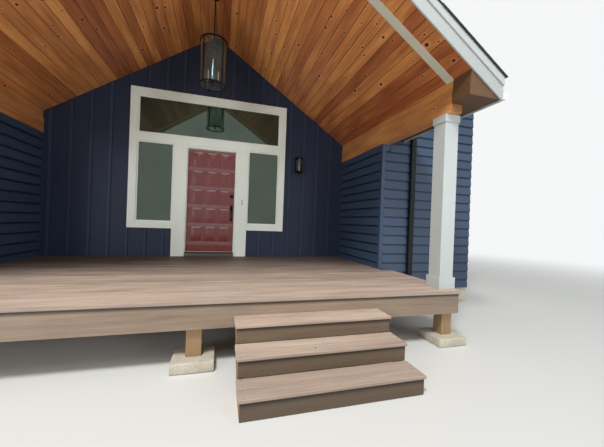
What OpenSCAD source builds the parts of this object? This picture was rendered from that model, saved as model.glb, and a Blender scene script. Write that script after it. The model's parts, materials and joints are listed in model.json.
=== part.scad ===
// Gabled entrance porch: a board deck with three wide steps, two boxed columns,
// an open board ceiling under a shingled gable roof, and a house wall with a
// panelled door, sidelights and a transom window.
// Sizes are in millimetres. While a piece is being drawn, X runs along the house
// wall from the middle of the door, Y runs into the house from the face of the
// window trim, and Z is height above the deck. on_ground() then moves it all so
// that the origin is the middle of the footprint at ground level.

/* [Deck] */
// From the face of the entry trim to the front edge of the deck boards
deck_depth = 3206; // [2600:1:4200]
// Thickness of the deck boards
deck_board_t = 38; // [25:1:45]
// How far the deck boards run past the rim board
deck_nosing = 18; // [0:1:40]
// How far the deck runs past the column bases at its ends
deck_margin = 1; // [0:1:60]
// Height of the rim boards and joists
rim_h = 234; // [180:1:290]
// Thickness of the rim boards, joists and ledger
joist_t = 38; // [35:1:50]
// Distance from joist to joist
joist_pitch = 406; // [300:1:610]
// Thickness of the built-up beam behind the front rim board
deck_beam_t = 152; // [76:1:190]
// Side of the square deck posts
deck_post = 140; // [90:1:190]
// From the end of the deck to the middle of its outer posts
deck_post_in = 134; // [100:1:400]
// Side of the concrete footing blocks
footing = 380; // [300:1:500]
// Height of the footing blocks above the ground
footing_h = 100; // [60:1:300]

/* [Steps] */
// Number of risers from the ground to the deck
risers = 4; // [3:1:6]
// Height of one riser
rise = 160; // [130:1:195]
// Depth of one step from riser to riser
run = 262; // [215:1:320]
// How far a tread runs past its riser and past the flight's sides
tread_nosing = 14; // [0:1:35]
// Thickness of a tread board
tread_t = 26; // [22:1:40]
// Gap between the two boards of a tread
board_gap = 4; // [2:1:8]
// Left end of the treads
steps_x0 = 355; // [-2600:1:1200]
// Width of the treads
steps_w = 1525; // [900:1:1830]
// Thickness of a riser board
riser_t = 20; // [16:1:30]
// Number of stair stringers
stringers = 4; // [2:1:6]

/* [Columns] */
// From the front edge of the deck to the column centres
column_back = 219; // [150:1:500]
// How far the columns stand inside the inner faces of the eave beams
column_in = 6.5; // [0:0.5:20]
// Side of the column shaft
shaft = 195; // [140:1:260]
// Thickness of the trim boards round the column's foot
base_t = 18.5; // [12:0.5:30]
// Height of the trim round the column's foot
base_h = 139; // [80:1:250]
// Thickness of the trim boards round the column's head
cap_t = 11.5; // [8:0.5:25]
// Height of the trim round the column's head
cap_h = 92; // [60:1:160]

/* [Roof] */
// Rise of the roof for each unit of run
pitch = 0.667; // [0.5:0.001:0.81]
// How far the inner faces of the eave beams stand inside the side walls
beam_in = 28; // [10:1:60]
// Width of an eave beam
beam_w = 160; // [145:1:220]
// Underside of the eave beams above the deck
beam_z = 2128; // [2040:1:2300]
// Height of an eave beam, up to the frieze boards
beam_h = 245; // [200:1:300]
// From the underside of the beams to the lower edge of the ceiling
beam_face = 384; // [340:1:460]
// How far the frieze boards stand back from the beams' inner faces
frieze_in = 12; // [4:1:25]
// From the front edge of the deck back to the front end of the beams
beam_back = 46; // [0:1:100]
// From the inner face of the beam to the eave fascia
eave_run = 425; // [340:1:460]
// From the rafters' outer ends down to the underside of the boxed eaves
soffit_under = 26; // [20:1:60]
// How far the eave fascias hang below the boxed eaves
fascia_drop = 20; // [0:1:40]
// From the front edge of the deck forward to the backs of the rake boards
rake_reach = 214; // [100:1:400]
// From the face of the entry trim to the cut back end of the roof
roof_back = 200; // [140:1:400]
// Thickness of the ceiling boards
ceiling_t = 19; // [12:1:25]
// Depth of the rafters
rafter_d = 184; // [140:1:240]
// Thickness of the rafters and of the ridge board
rafter_t = 38; // [35:1:50]
// Largest distance from rafter to rafter
rafter_pitch = 610; // [400:1:800]
// Thickness of the roof boards
sheathing_t = 12; // [10:1:20]
// Thickness of the shingle layer
shingle_t = 10; // [6:1:16]
// Thickness of the fascia boards
fascia_t = 20; // [16:1:28]
// From the front edge of the deck back to the pale ceiling strip
strip_in = 36; // [0:1:200]
// Width of the pale ceiling strip
strip_w = 110; // [60:1:160]
// Thickness of the pale ceiling strip
strip_t = 8; // [5:1:20]
// Width of an eave gutter
gutter_w = 118; // [90:1:150]
// Height of an eave gutter
gutter_h = 100; // [80:1:130]
// Thickness of the gutter metal
gutter_t = 3; // [2:0.5:5]

/* [Walls] */
// Half the distance between the side walls
return_x = 2815; // [2520:1:3400]
// From the face of the entry trim to the front walls of the wings
wing_y = 1645; // [1300:1:2300]
// Length of the built wings past the side walls
wing_run = 1885; // [900:1:3000]
// How far the wing walls rise above the underside of the beams
wing_rise = 822; // [600:1:1200]
// Thickness of the side walls and wing walls
wing_t = 125; // [100:1:130]
// Thickness of the wall behind the porch
back_t = 105; // [100:1:140]
// Thickness of the entry trim boards
trim_t = 25; // [20:1:30]
// Lower edge of the wall cladding, below the deck
cladding_drop = 360; // [300:1:450]
// Thickness of the foundation walls
foundation_t = 150; // [100:1:250]
// Width of the corner posts on each face
corner_w = 50; // [40:1:110]
// How far the corner posts stand out from the walls
corner_t = 12; // [8:1:20]
// Size of a downspout along the wall and out from it
spout = [86, 70];
// From the eave fascia to the near side of a downspout
spout_out = 113; // [30:1:300]

/* [Entry] */
// Thickness of a door frame's edge that shows inside the casing
reveal = 20.5; // [16.5:0.5:40]
// Width of the door casings
casing_w = 226; // [150:1:300]
// Width of a sidelight opening
light_w = 631; // [400:1:750]
// Width of the trim beside the windows
trim_w = 131; // [90:1:160]
// From the top of the door frame's gap to the tops of the sidelights
light_rise = 39.5; // [20:0.5:60]
// Height of the trim band between the door and the transom
head_h = 154; // [90:1:200]
// Height of the transom opening
transom_h = 694; // [300:1:720]
// Height of the trim over the transom
crown_h = 141; // [90:1:160]
// Bottom of the sidelight openings above the deck
side_sill = 661; // [300:1:1000]
// Width of the sill trim under the sidelights
sill_w = 125; // [80:1:160]
// How far the wall openings reach behind the trim
trim_lap = 18; // [10:1:30]
// Width of a window frame that shows inside the trim
sash_show = 22; // [6:1:40]
// Thickness of the glass
glass_t = 10; // [6:1:20]

/* [Door] */
// Width of the door
door_w = 914; // [760:1:1100]
// Height of the door
door_h = 2032; // [1900:1:2140]
// Thickness of the door
door_t = 45; // [40:1:50]
// From the face of the entry trim to the face of the door
door_in = 80; // [76:1:80]
// Underside of the door above the deck
door_z = 90; // [70:1:100]
// Clearance round the door
door_gap = 6.5; // [6:0.5:8]
// Panels across the door and panels up it
panels = [3, 5];
// Width of the outer stiles and of the upright bars between panels
stile = [85, 46];
// Height of the bottom rail, the rails between panels and the top rail
rail = [190, 50, 46];
// Depth of the sunk edge round a panel
panel_sink = 12; // [5:1:15]
// Flat margin round a raised panel
panel_margin = 10; // [4:1:16]
// Width of the bevel of a raised panel
panel_bevel = 30; // [15:1:45]
// From the door's free edge to the middle of its handle
handle_in = 56; // [50:1:70]
// Middle of the deadbolt above the deck
bolt_z = 1220; // [1120:1:1400]
// Bottom and top of the grip handle above the deck
grip_z = [735, 985];
// Height of a hinge
hinge_h = 100; // [75:1:125]

/* [Lights] */
// From the face of the entry trim to the middle of the hanging lantern
lantern_y = 1100; // [700:1:1700]
// From the ceiling ridge down to the top of the lantern
lantern_drop = 766; // [350:1:1200]
// Height of the hanging lantern
lantern_h = 722; // [500:1:900]
// Outer radius of the lantern rings
lantern_r = 211; // [150:1:260]
// Distance of the lantern's candles from its middle
candle_r = 90; // [60:1:110]
// From the outer window trim to the middle of the wall light
sconce_gap = 290; // [150:1:600]
// Middle of the wall light above the deck
sconce_z = 1952; // [1700:1:2000]
// Height of the wall light's glass
sconce_h = 255; // [225:1:300]
// Outer radius of the wall light's glass
sconce_r = 70; // [50:1:85]
// From the wall to the middle of the wall light's glass
sconce_out = 115; // [110:1:150]

/* [Hidden] */
seam = 0.4;
slack = 0.05;
ground = -risers*rise;
wall_face = trim_t;
wall_in = trim_t + back_t;
wing_back = -wing_y + wing_t;
return_out = return_x + wing_t;
cladding_z = -cladding_drop;
wing_x = return_x + wing_run;
wing_top = beam_z + wing_rise;

beam_x = return_x - beam_in;
beam_out = beam_x + beam_w;
beam_top = beam_z + beam_h;
beam_front = deck_depth - beam_back;
frieze_x = beam_x + frieze_in;
ridge_z = beam_z + beam_face + pitch*beam_x;
cosine = 1/sqrt(1 + pitch*pitch);
eave_x = beam_x + eave_run;
soffit_z = slope_z(eave_x, ceiling_t) - soffit_under;
rake_y = deck_depth + rake_reach;
boards_above = ceiling_t + rafter_d;
roof_step = -wing_y - 2;
spout_x = eave_x + fascia_t + spout_out;

column_x = beam_x - column_in + shaft/2;
column_y = deck_depth - column_back;
deck_half = column_x + shaft/2 + base_t + deck_margin;
rim_face = -deck_depth + deck_nosing;
rim_z = -deck_board_t - rim_h;
deck_beam_y = rim_face + joist_t;
deck_post_y = deck_beam_y + deck_beam_t/2 + 10;
deck_post_pitch = deck_half - deck_post_in;
tread_d = run + tread_nosing;
front_y = rim_face - (risers - 2)*run - tread_d;
back_y = roof_back;

door_jamb_x = door_w/2 + door_gap;
door_top = door_z + door_h;
door_back = door_in + door_t;
casing_in = door_jamb_x + reveal;
jamb_out = casing_in + 15.5;
casing_x = casing_in + casing_w;
glass_x = casing_x + light_w;
trim_x = glass_x + trim_w;
side_z = [side_sill, door_top + door_gap + light_rise];
transom_z = [side_z[1] + head_h, side_z[1] + head_h + transom_h];
trim_top = transom_z[1] + crown_h;
opening_x = glass_x + trim_lap;
panel_w = (door_w - 2*stile[0] - (panels[0] - 1)*stile[1])/panels[0];
panel_h = (door_h - rail[0] - rail[2] - (panels[1] - 1)*rail[1])/panels[1];
handle_x = door_w/2 - handle_in;
hinge_x = -door_w/2 - door_gap/2;
hinge_y = door_back + 6;
hinge_z = [door_z + 180, door_z + door_h/2, door_z + door_h - 280];
knuckle = hinge_h/5;

lantern_z = [ridge_z - lantern_drop - lantern_h, ridge_z - lantern_drop];
candle_turns = [25, 145, 265];
sconce_x = trim_x + sconce_gap;
sconce_cup = -sconce_h/2;
sconce_cap = sconce_h/2;

// Height of the underside of the ceiling boards at a distance from the ridge
function slope_z(x, above = 0) = ridge_z - pitch*x + above/cosine;

module on_ground()
    translate([0, -(front_y + back_y)/2, -ground]) children();

module block(x, y, z)
    translate([x[0], y[0], z[0]]) cube([x[1] - x[0], y[1] - y[0], z[1] - z[0]]);

module both_sides() {
    children();
    mirror([1, 0, 0]) children();
}

// A plate drawn in X and Z that reaches from one Y to another
module upright(y)
    translate([0, y[1], 0]) rotate([90, 0, 0]) linear_extrude(y[1] - y[0]) children();

// A sloping sheet of the right half of the roof, between two heights above the
// underside of the ceiling, measured square to the slope
module roof_sheet(x, y, above) {
    low = above[0] + slack;
    high = above[1] - slack;
    upright(y) polygon([
        [x[0], slope_z(x[0], low)], [x[1], slope_z(x[1], low)],
        [x[1], slope_z(x[1], high)], [x[0], slope_z(x[0], high)]]);
}

module foundation_walls() color("tan") {
    top = cladding_z;
    inset = 15;
    block([-return_out, return_out], [wall_in - foundation_t, wall_in], [ground, top]);
    both_sides() {
        block([return_x + inset, return_x + inset + foundation_t],
              [-wing_y + inset + foundation_t + seam, wall_in - foundation_t - seam],
              [ground, top]);
        block([return_x + inset, wing_x],
              [-wing_y + inset, -wing_y + inset + foundation_t], [ground, top]);
    }
}

module deck_footings() color("gray")
    for (side = [-1, 0, 1])
        translate([side*deck_post_pitch - footing/2, deck_post_y - footing/2, ground])
            cube([footing, footing, footing_h]);

module deck_posts() color("burlywood")
    for (side = [-1, 0, 1])
        translate([side*deck_post_pitch - deck_post/2, deck_post_y - deck_post/2,
                   ground + footing_h])
            cube([deck_post, deck_post, rim_z - ground - footing_h]);

module deck_beam() color("burlywood")
    block([-(deck_half - deck_nosing - joist_t - seam), deck_half - deck_nosing - joist_t - seam],
          [deck_beam_y, deck_beam_y + deck_beam_t], [rim_z, -deck_board_t]);

module deck_ledger() color("burlywood")
    block([-return_x, return_x], [wall_face - joist_t, wall_face], [rim_z, -deck_board_t]);

module deck_joists() color("burlywood") {
    reach = floor((return_x - joist_t)/joist_pitch);
    for (i = [-reach:reach])
        block([i*joist_pitch - joist_t/2, i*joist_pitch + joist_t/2],
              [deck_beam_y + deck_beam_t, wall_face - joist_t], [rim_z, -deck_board_t]);
}

module deck_rim() color("rosybrown") {
    rim_x = deck_half - deck_nosing;
    block([-rim_x, rim_x], [rim_face, rim_face + joist_t - seam], [rim_z, -deck_board_t]);
    both_sides()
        block([rim_x - joist_t, rim_x], [rim_face + joist_t, -wing_y - seam],
              [rim_z, -deck_board_t]);
}

module decking() color("rosybrown") {
    block([-deck_half, deck_half], [-deck_depth, -wing_y - 1], [-deck_board_t, 0]);
    block([-return_x + 1, return_x - 1], [-wing_y - 1 + seam, wall_face - 1],
          [-deck_board_t, 0]);
}

// Outline of one stringer, seen from the side: X here is the distance from the rim
// board towards the street, and Y is height
module stringer_outline() {
    steps = risers - 1;
    under = tread_t;
    polygon(concat(
        [[0, -rise - under]],
        [for (i = [1:steps]) each [
            [i*run - riser_t, -i*rise - under],
            [i*run - riser_t, i < steps ? -(i + 1)*rise - under : ground]]],
        [[(steps - 1)*run - 60, ground], [0, rim_z]]));
}

module stair_stringers() color("burlywood") {
    side = steps_x0 + tread_nosing;
    span = steps_w - 2*tread_nosing - joist_t;
    for (i = [0:stringers - 1])
        translate([side + i*span/(stringers - 1), rim_face, 0])
            rotate([90, 0, 90]) linear_extrude(joist_t) mirror([1, 0]) stringer_outline();
}

module stair_risers() color("saddlebrown")
    for (i = [1:risers - 1])
        block([steps_x0 + tread_nosing, steps_x0 + steps_w - tread_nosing],
              [rim_face - i*run, rim_face - i*run + riser_t],
              [i < risers - 1 ? -(i + 1)*rise : ground, -i*rise - tread_t]);

// Tread i, counted up from the ground, as two boards with a gap
module tread(i) color("rosybrown") {
    from_deck = risers - i;
    back = rim_face - (from_deck - 1)*run;
    board = (tread_d - board_gap)/2;
    z = -from_deck*rise;
    for (y = [back - tread_d, back - board])
        block([steps_x0, steps_x0 + steps_w], [y, y + board], [z - tread_t, z]);
}

module treads() for (i = [1:risers - 1]) tread(i);

// Right part of the wall behind the porch, from the window opening to the corner
module back_wall_outline() polygon([
    [opening_x, cladding_z], [return_out, cladding_z], [return_out, beam_z],
    [beam_x, beam_z], [beam_x, beam_top], [frieze_x, beam_top],
    [frieze_x, slope_z(frieze_x)], [opening_x, slope_z(opening_x)]]);

module back_walls() color("midnightblue") both_sides()
    upright([wall_face, wall_in]) back_wall_outline();

module gable_wall() color("midnightblue")
    upright([wall_face, wall_in]) polygon([
        [-opening_x, transom_z[1] + trim_lap], [opening_x, transom_z[1] + trim_lap],
        [opening_x, slope_z(opening_x)], [0, ridge_z], [-opening_x, slope_z(opening_x)]]);

module door_sill_wall() color("tan")
    block([-casing_x + trim_lap, casing_x - trim_lap], [wall_face, wall_in],
          [cladding_z, 0]);

module apron_walls() color("midnightblue") both_sides()
    block([casing_x - trim_lap, opening_x], [wall_face, wall_in],
          [cladding_z, side_z[0] - trim_lap]);

module wall_piers() color("ivory") both_sides()
    block([jamb_out, casing_x - trim_lap], [wall_face, wall_in],
          [0, side_z[1] + trim_lap]);

module entry_header() color("ivory")
    block([-opening_x, opening_x], [wall_face, wall_in],
          [side_z[1] + trim_lap, transom_z[0] - trim_lap]);

module return_walls() color("steelblue") both_sides()
    block([return_x, return_out], [wing_back + seam, wall_face - seam],
          [cladding_z, beam_z]);

module wing_walls() color("steelblue") both_sides()
    upright([-wing_y, wing_back]) polygon([
        [return_x, cladding_z], [wing_x, cladding_z], [wing_x, wing_top],
        [beam_out + 1, wing_top], [beam_out + 1, beam_z], [return_x, beam_z]]);

module corner_posts() color("slategray") both_sides()
    linear_extrude(beam_z) polygon([
        [return_x - corner_t, -wing_y - corner_t], [return_x + corner_w, -wing_y - corner_t],
        [return_x + corner_w, -wing_y], [return_x, -wing_y],
        [return_x, -wing_y + corner_w], [return_x - corner_t, -wing_y + corner_w]]);

// Flat boards round the windows and the door
module entry_casing() color("floralwhite") {
    y = [0, trim_t];
    block([-trim_x, trim_x], y, [transom_z[1], trim_top]);
    block([-glass_x + seam, glass_x - seam], y, [side_z[1], transom_z[0]]);
    both_sides() {
        block([glass_x, trim_x], y, [side_z[0] - sill_w, transom_z[1] - seam]);
        block([casing_x + seam, glass_x - seam], y, [side_z[0] - sill_w, side_z[0]]);
        block([casing_in, casing_x], y, [0, side_z[1] - seam]);
    }
}

// A window frame with its opening, inside a hole in the wall
module window_frame(x, z) {
    lap = trim_lap - seam;
    upright([wall_face + seam, wall_in - 20]) difference() {
        translate([x[0] - lap, z[0] - lap])
            square([x[1] - x[0] + 2*lap, z[1] - z[0] + 2*lap]);
        translate([x[0] + sash_show, z[0] + sash_show])
            square([x[1] - x[0] - 2*sash_show, z[1] - z[0] - 2*sash_show]);
    }
}

module window_frames() color("whitesmoke") {
    window_frame([-glass_x, glass_x], transom_z);
    both_sides() window_frame([casing_x, glass_x], side_z);
}

module pane(x, z)
    block([x[0] + sash_show, x[1] - sash_show], [wall_face + 25, wall_face + 25 + glass_t],
          [z[0] + sash_show, z[1] - sash_show]);

module window_glass() color("lightblue", 0.4) {
    pane([-glass_x, glass_x], transom_z);
    both_sides() pane([casing_x, glass_x], side_z);
}

// Side pieces and head of the door frame, each with its stop
module door_frame() color("floralwhite") {
    front = 5;
    stop_y = door_in - 5;
    top = door_top + door_gap;
    both_sides() {
        linear_extrude(top - seam) polygon([
            [door_jamb_x, door_back], [jamb_out - seam, door_back],
            [jamb_out - seam, wall_face], [casing_in - seam, wall_face],
            [casing_in - seam, front], [door_jamb_x, front]]);
        block([door_jamb_x - 12, door_jamb_x + 1], [stop_y - 18, stop_y],
              [door_z - 7, top - seam]);
    }
    block([-jamb_out + seam, jamb_out - seam], [wall_face + seam, door_back],
          [top, side_z[1] + trim_lap]);
    block([-door_jamb_x + 13, door_jamb_x - 13], [stop_y - 18, stop_y],
          [top - 12, top - seam]);
}

module threshold() color("gainsboro")
    translate([-door_jamb_x + seam, 0, 0]) rotate([90, 0, 90])
        linear_extrude(2*(door_jamb_x - seam)) polygon([
            [-25, 0], [wall_in, 0], [wall_in, door_z - 8], [door_in - 20, door_z - 8],
            [0, door_z - 22], [-25, door_z - 30]]);

// Puts a panel's shape at the lower left corner of each of the door's panels
module each_panel()
    for (i = [0:panels[0] - 1], j = [0:panels[1] - 1])
        translate([-door_w/2 + stile[0] + i*(panel_w + stile[1]), 0,
                   door_z + rail[0] + j*(panel_h + rail[1])])
            children();

// A raised field: sloping margins on all four sides, flat in the middle
module raised_field(w, h, bevel, rise_y) intersection() {
    linear_extrude(h) polygon([[0, 0], [w, 0], [w - bevel, -rise_y], [bevel, -rise_y]]);
    rotate([90, 0, 90]) linear_extrude(w)
        polygon([[0, 0], [0, h], [-rise_y, h - bevel], [-rise_y, bevel]]);
}

module door() color("firebrick") {
    difference() {
        block([-door_w/2, door_w/2], [door_in, door_in + door_t], [door_z, door_top]);
        each_panel() translate([0, door_in - 1, 0]) cube([panel_w, panel_sink + 1, panel_h]);
        each_panel() translate([0, door_in + door_t - panel_sink, 0])
            cube([panel_w, panel_sink + 1, panel_h]);
    }
    field = [panel_w - 2*panel_margin, panel_h - 2*panel_margin];
    each_panel() translate([panel_margin, 0, panel_margin]) {
        translate([0, door_in + panel_sink, 0])
            raised_field(field[0], field[1], panel_bevel, panel_sink - 1);
        translate([0, door_in + door_t - panel_sink, 0]) mirror([0, 1, 0])
            raised_field(field[0], field[1], panel_bevel, panel_sink - 1);
    }
}

// Deadbolt, grip handle and thumb plate outside, knob and turn plate inside
module door_handles() color("black") {
    out = door_in;
    inside = door_in + door_t;
    translate([handle_x, out, bolt_z]) rotate([90, 0, 0]) {
        cylinder(h = 12, r = 37, $fn = 48);
        cylinder(h = 20, r = 28, $fn = 48);
        cylinder(h = 24, r = 12, $fn = 32);
    }
    block([handle_x - 29, handle_x + 29], [out - 8, out], [grip_z[1] - 48, grip_z[1] + 52]);
    block([handle_x - 24, handle_x + 24], [out - 8, out], [grip_z[0] - 24, grip_z[0] + 32]);
    translate([handle_x, out, 0]) rotate([90, 0, 90]) translate([0, 0, -12])
        linear_extrude(24) polygon([
            [-8, grip_z[1] - 6], [-8, grip_z[1] - 30], [-34, grip_z[1] - 48],
            [-38, grip_z[0] + 55], [-8, grip_z[0] + 24], [-8, grip_z[0] - 4],
            [-22, grip_z[0] + 8], [-56, grip_z[0] + 46], [-52, grip_z[1] - 30]]);
    block([handle_x - 17, handle_x + 17], [out - 40, out - 8], [grip_z[1] + 10, grip_z[1] + 18]);
    translate([handle_x, inside, bolt_z]) rotate([-90, 0, 0]) {
        cylinder(h = 8, r = 33, $fn = 48);
        translate([-6, -20, 0]) cube([12, 40, 24]);
    }
    translate([handle_x, inside, grip_z[1]]) rotate([-90, 0, 0]) {
        cylinder(h = 8, r = 33, $fn = 48);
        cylinder(h = 40, r = 12, $fn = 32);
        translate([0, 0, 42]) cylinder(h = 26, r = 27, $fn = 48);
        translate([0, 0, 30]) cylinder(h = 14, r = 18, $fn = 48);
    }
}

// Leaves and the second and fourth knuckles, which turn with the door
module door_leaves() color("dimgray")
    for (z = hinge_z) {
        block([-door_w/2 - 1.6, -door_w/2], [door_in + 10, hinge_y - 5.8], [z, z + hinge_h]);
        for (i = [1, 3]) translate([hinge_x, hinge_y, z + i*knuckle + 0.3]) difference() {
            union() {
                cylinder(h = knuckle - 0.6, r = 5.5, $fn = 32);
                translate([1.8, -7, 0]) cube([1.4, 6, knuckle - 0.6]);
            }
            translate([0, 0, -1]) cylinder(h = knuckle + 2, r = 3.1, $fn = 32);
        }
    }

// Leaves on the frame, the other knuckles and the pins
module frame_hinges() color("dimgray")
    for (z = hinge_z) {
        block([-door_jamb_x, -door_jamb_x + 1.6], [door_in + 10, hinge_y - 5.8],
              [z, z + hinge_h]);
        for (i = [0, 2, 4]) translate([hinge_x, hinge_y, z + i*knuckle]) {
            cylinder(h = knuckle, r = 5.5, $fn = 32);
            translate([-3.2, -7, 0]) cube([1.4, 6, knuckle]);
        }
        translate([hinge_x, hinge_y, z]) cylinder(h = hinge_h, r = 3, $fn = 32);
    }

// A plate on the casing with two round buttons
module doorbell() color("ivory") translate([casing_in + 121, 0, 1048]) {
    block([-15, 15], [-8, 0], [0, 112]);
    for (z = [33, 80]) translate([0, -7, z]) rotate([90, 0, 0]) cylinder(h = 5, r = 8, $fn = 32);
}

module at_columns() both_sides() translate([column_x, -column_y, 0]) children();

// Trim boards round a shaft, from one height to another
module collar(t, z) translate([0, 0, z[0]]) linear_extrude(z[1] - z[0]) difference() {
    square(shaft + 2*t, center = true);
    square(shaft, center = true);
}

module column_bases() color("white") at_columns() collar(base_t, [0, base_h]);

module column_shafts() color("white") at_columns()
    translate([-shaft/2, -shaft/2, 0]) cube([shaft, shaft, beam_z]);

module column_caps() color("white") at_columns() collar(cap_t, [beam_z - cap_h, beam_z]);

module eave_beams() color("peru") both_sides()
    block([beam_x, beam_out], [-beam_front, wall_in], [beam_z, beam_top]);

// Boards on the beams, up to the ceiling and the rafters
module frieze_boards() color("chocolate") both_sides()
    upright([-beam_front, wall_in]) polygon([
        [frieze_x, beam_top], [beam_out, beam_top],
        [beam_out, slope_z(beam_out, ceiling_t)], [frieze_x, slope_z(frieze_x, ceiling_t)]]);

module ceiling_boards() color("peru") both_sides()
    roof_sheet([seam, frieze_x], [-rake_y, roof_back], [0, ceiling_t]);

module ceiling_strips() color("cornsilk") both_sides()
    roof_sheet([seam, frieze_x], [-deck_depth + strip_in, -deck_depth + strip_in + strip_w],
               [-strip_t, 0]);

module ridge_board() color("burlywood")
    upright([-rake_y, roof_back]) translate([-rafter_t/2, slope_z(0, ceiling_t)])
        square([rafter_t, rafter_d/cosine - pitch*rafter_t/2 - 1]);

module rafters() color("burlywood") {
    length = rake_y + roof_back - rafter_t;
    bays = ceil(length/rafter_pitch);
    above = [ceiling_t, ceiling_t + rafter_d];
    for (i = [0:bays]) {
        y = -rake_y + i*length/bays;
        foot = y + rafter_t < -wing_y ? eave_x : beam_out - rafter_t;
        both_sides() roof_sheet([rafter_t/2 + seam, foot], [y, y + rafter_t], above);
    }
}

// Closes the roof's side where it runs behind the front wall of a wing
module eave_blocking() color("burlywood") both_sides()
    roof_sheet([beam_out - rafter_t, beam_out], [-wing_y, roof_back],
               [ceiling_t, ceiling_t + rafter_d]);

// One layer of the right half: wide over the deck, narrow between the wings
module roof_layer(above, over_eave, over_rake) {
    front = -rake_y - fascia_t - over_rake;
    roof_sheet([seam, beam_out], [roof_step + seam, roof_back], above);
    roof_sheet([seam, eave_x + fascia_t + over_eave], [front, roof_step], above);
}

module roof_boards() color("tan") both_sides()
    roof_layer([boards_above, boards_above + sheathing_t], 0, 0);

module shingles() color("dimgray") both_sides()
    roof_layer([boards_above + sheathing_t, boards_above + sheathing_t + shingle_t], 18, 38);

// Sloping front boards with a narrower board along their upper edge
module rake_boards() color("white") both_sides() {
    face = -rake_y - fascia_t;
    roof_sheet([seam, eave_x + fascia_t], [face, -rake_y], [-4, boards_above - seam]);
    roof_sheet([seam, eave_x + fascia_t], [face - 16, face - seam/4],
               [boards_above - 70, boards_above + sheathing_t - seam]);
}

module eave_fascias() color("white") both_sides()
    upright([-rake_y, -wing_y - seam]) polygon([
        [eave_x, soffit_z - fascia_drop], [eave_x + fascia_t, soffit_z - fascia_drop],
        [eave_x + fascia_t, slope_z(eave_x + fascia_t, boards_above)],
        [eave_x, slope_z(eave_x, boards_above)]]);

module eave_soffits() color("sienna") both_sides()
    block([beam_out, eave_x], [-beam_front, -wing_y - seam], [soffit_z, soffit_z + 15]);

module eave_returns() color("peru") both_sides()
    upright([-rake_y, -beam_front - seam]) polygon([
        [beam_x, soffit_z], [eave_x, soffit_z], [eave_x, slope_z(eave_x, ceiling_t)],
        [frieze_x, slope_z(frieze_x, ceiling_t)], [frieze_x, beam_top], [beam_x, beam_top]]);

// A gutter with closed ends, which stops in front of the downspout
module gutters() color("white") both_sides() {
    t = gutter_t;
    foot = gutter_w*0.6;
    lip = gutter_h*0.55;
    back = -wing_y - spout[1] - 8;
    end = [[0, 0], [foot, 0], [gutter_w, lip], [gutter_w, gutter_h], [0, gutter_h]];
    outer = [[0, 0], [foot, 0], [gutter_w, lip], [gutter_w, gutter_h],
             [gutter_w - 12, gutter_h], [gutter_w - 12, gutter_h - t],
             [gutter_w - t, gutter_h - t], [gutter_w - t, lip + 1],
             [foot - 1, t], [t, t], [t, gutter_h], [0, gutter_h]];
    translate([eave_x + fascia_t, 0, soffit_z + 15]) {
        upright([-rake_y, back]) polygon(outer);
        upright([-rake_y, -rake_y + t]) polygon(end);
        upright([back - t, back]) polygon(end);
    }
}

module downspouts() color("darkslategray") both_sides() {
    bottom = ground + 60;
    block([spout_x, spout_x + spout[0]], [-wing_y - spout[1], -wing_y - 3],
          [bottom, wing_top]);
    for (z = [cladding_z + 200, wing_top/2, wing_top - 250])
        block([spout_x - 10, spout_x + spout[0] + 10], [-wing_y - 3, -wing_y], [z, z + 30]);
}

module ring(r, w, z, h) translate([0, 0, z]) difference() {
    cylinder(h = h, r = r, $fn = 96);
    translate([0, 0, -1]) cylinder(h = h + 2, r = r - w, $fn = 96);
}

module at_lantern() translate([0, -lantern_y, 0]) children();

module lantern_frame() color("black") at_lantern() {
    bar = 12;
    band = 22;
    bottom = lantern_z[0];
    top = lantern_z[1];
    ring(lantern_r, 12, bottom, band);
    ring(lantern_r, 12, top - band, band);
    for (a = [45:90:315]) rotate([0, 0, a])
        translate([lantern_r - bar - 1, -bar/2, bottom + 4]) cube([bar, bar, top - bottom - 8]);
    for (a = [45, 135]) rotate([0, 0, a])
        translate([-lantern_r + 6, -bar/2, top - 12]) cube([2*lantern_r - 12, bar, 8]);
    translate([0, 0, top - 14]) cylinder(h = 40, r1 = 26, r2 = 10, $fn = 48);
    translate([0, 0, top - 14]) cylinder(h = lantern_drop - 40, r = 9, $fn = 32);
    translate([0, 0, top - 60]) cylinder(h = lantern_drop + 20, r = 5, $fn = 32);
    intersection() {
        translate([0, 0, ridge_z - 72]) cylinder(h = 80, r = 62, $fn = 64);
        upright([-70, 70]) polygon([[0, ridge_z], [-200, slope_z(200)], [200, slope_z(200)]]);
    }
}

module lantern_glass() color("lightcyan", 0.4) at_lantern()
    ring(lantern_r - 14, 4, lantern_z[0] + 3, lantern_h - 15);

// A candle-shaped bulb on its sleeve and drip cup
module candle(h) {
    cylinder(h = 8, r = 20, $fn = 32);
    cylinder(h = h, r = 12, $fn = 32);
    rotate_extrude($fn = 32) polygon([
        [0, h - 1], [7, h - 1], [11, h + 14], [12, h + 34], [9, h + 60], [4, h + 84], [0, h + 96]]);
}

// Hub with its drop, three arms and their candles, and the candle of the wall light
module candles() color("ivory") {
    hub = lantern_z[0] + 85;
    at_lantern() {
        translate([0, 0, hub]) cylinder(h = lantern_z[1] - 60 - hub, r = 8, $fn = 32);
        rotate_extrude($fn = 48) polygon([
            [0, hub - 95], [6, hub - 90], [15, hub - 72], [8, hub - 52],
            [22, hub - 26], [24, hub - 8], [24, hub + 1], [0, hub + 1]]);
        for (a = candle_turns) rotate([0, 0, a]) {
            translate([6, -5, hub]) cube([candle_r, 10, 10]);
            translate([candle_r, 0, hub + 9]) candle(95);
        }
    }
    at_wall_light() translate([0, -sconce_out, sconce_cup]) candle(120);
}

module at_wall_light() translate([sconce_x, wall_face, sconce_z]) children();

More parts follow.
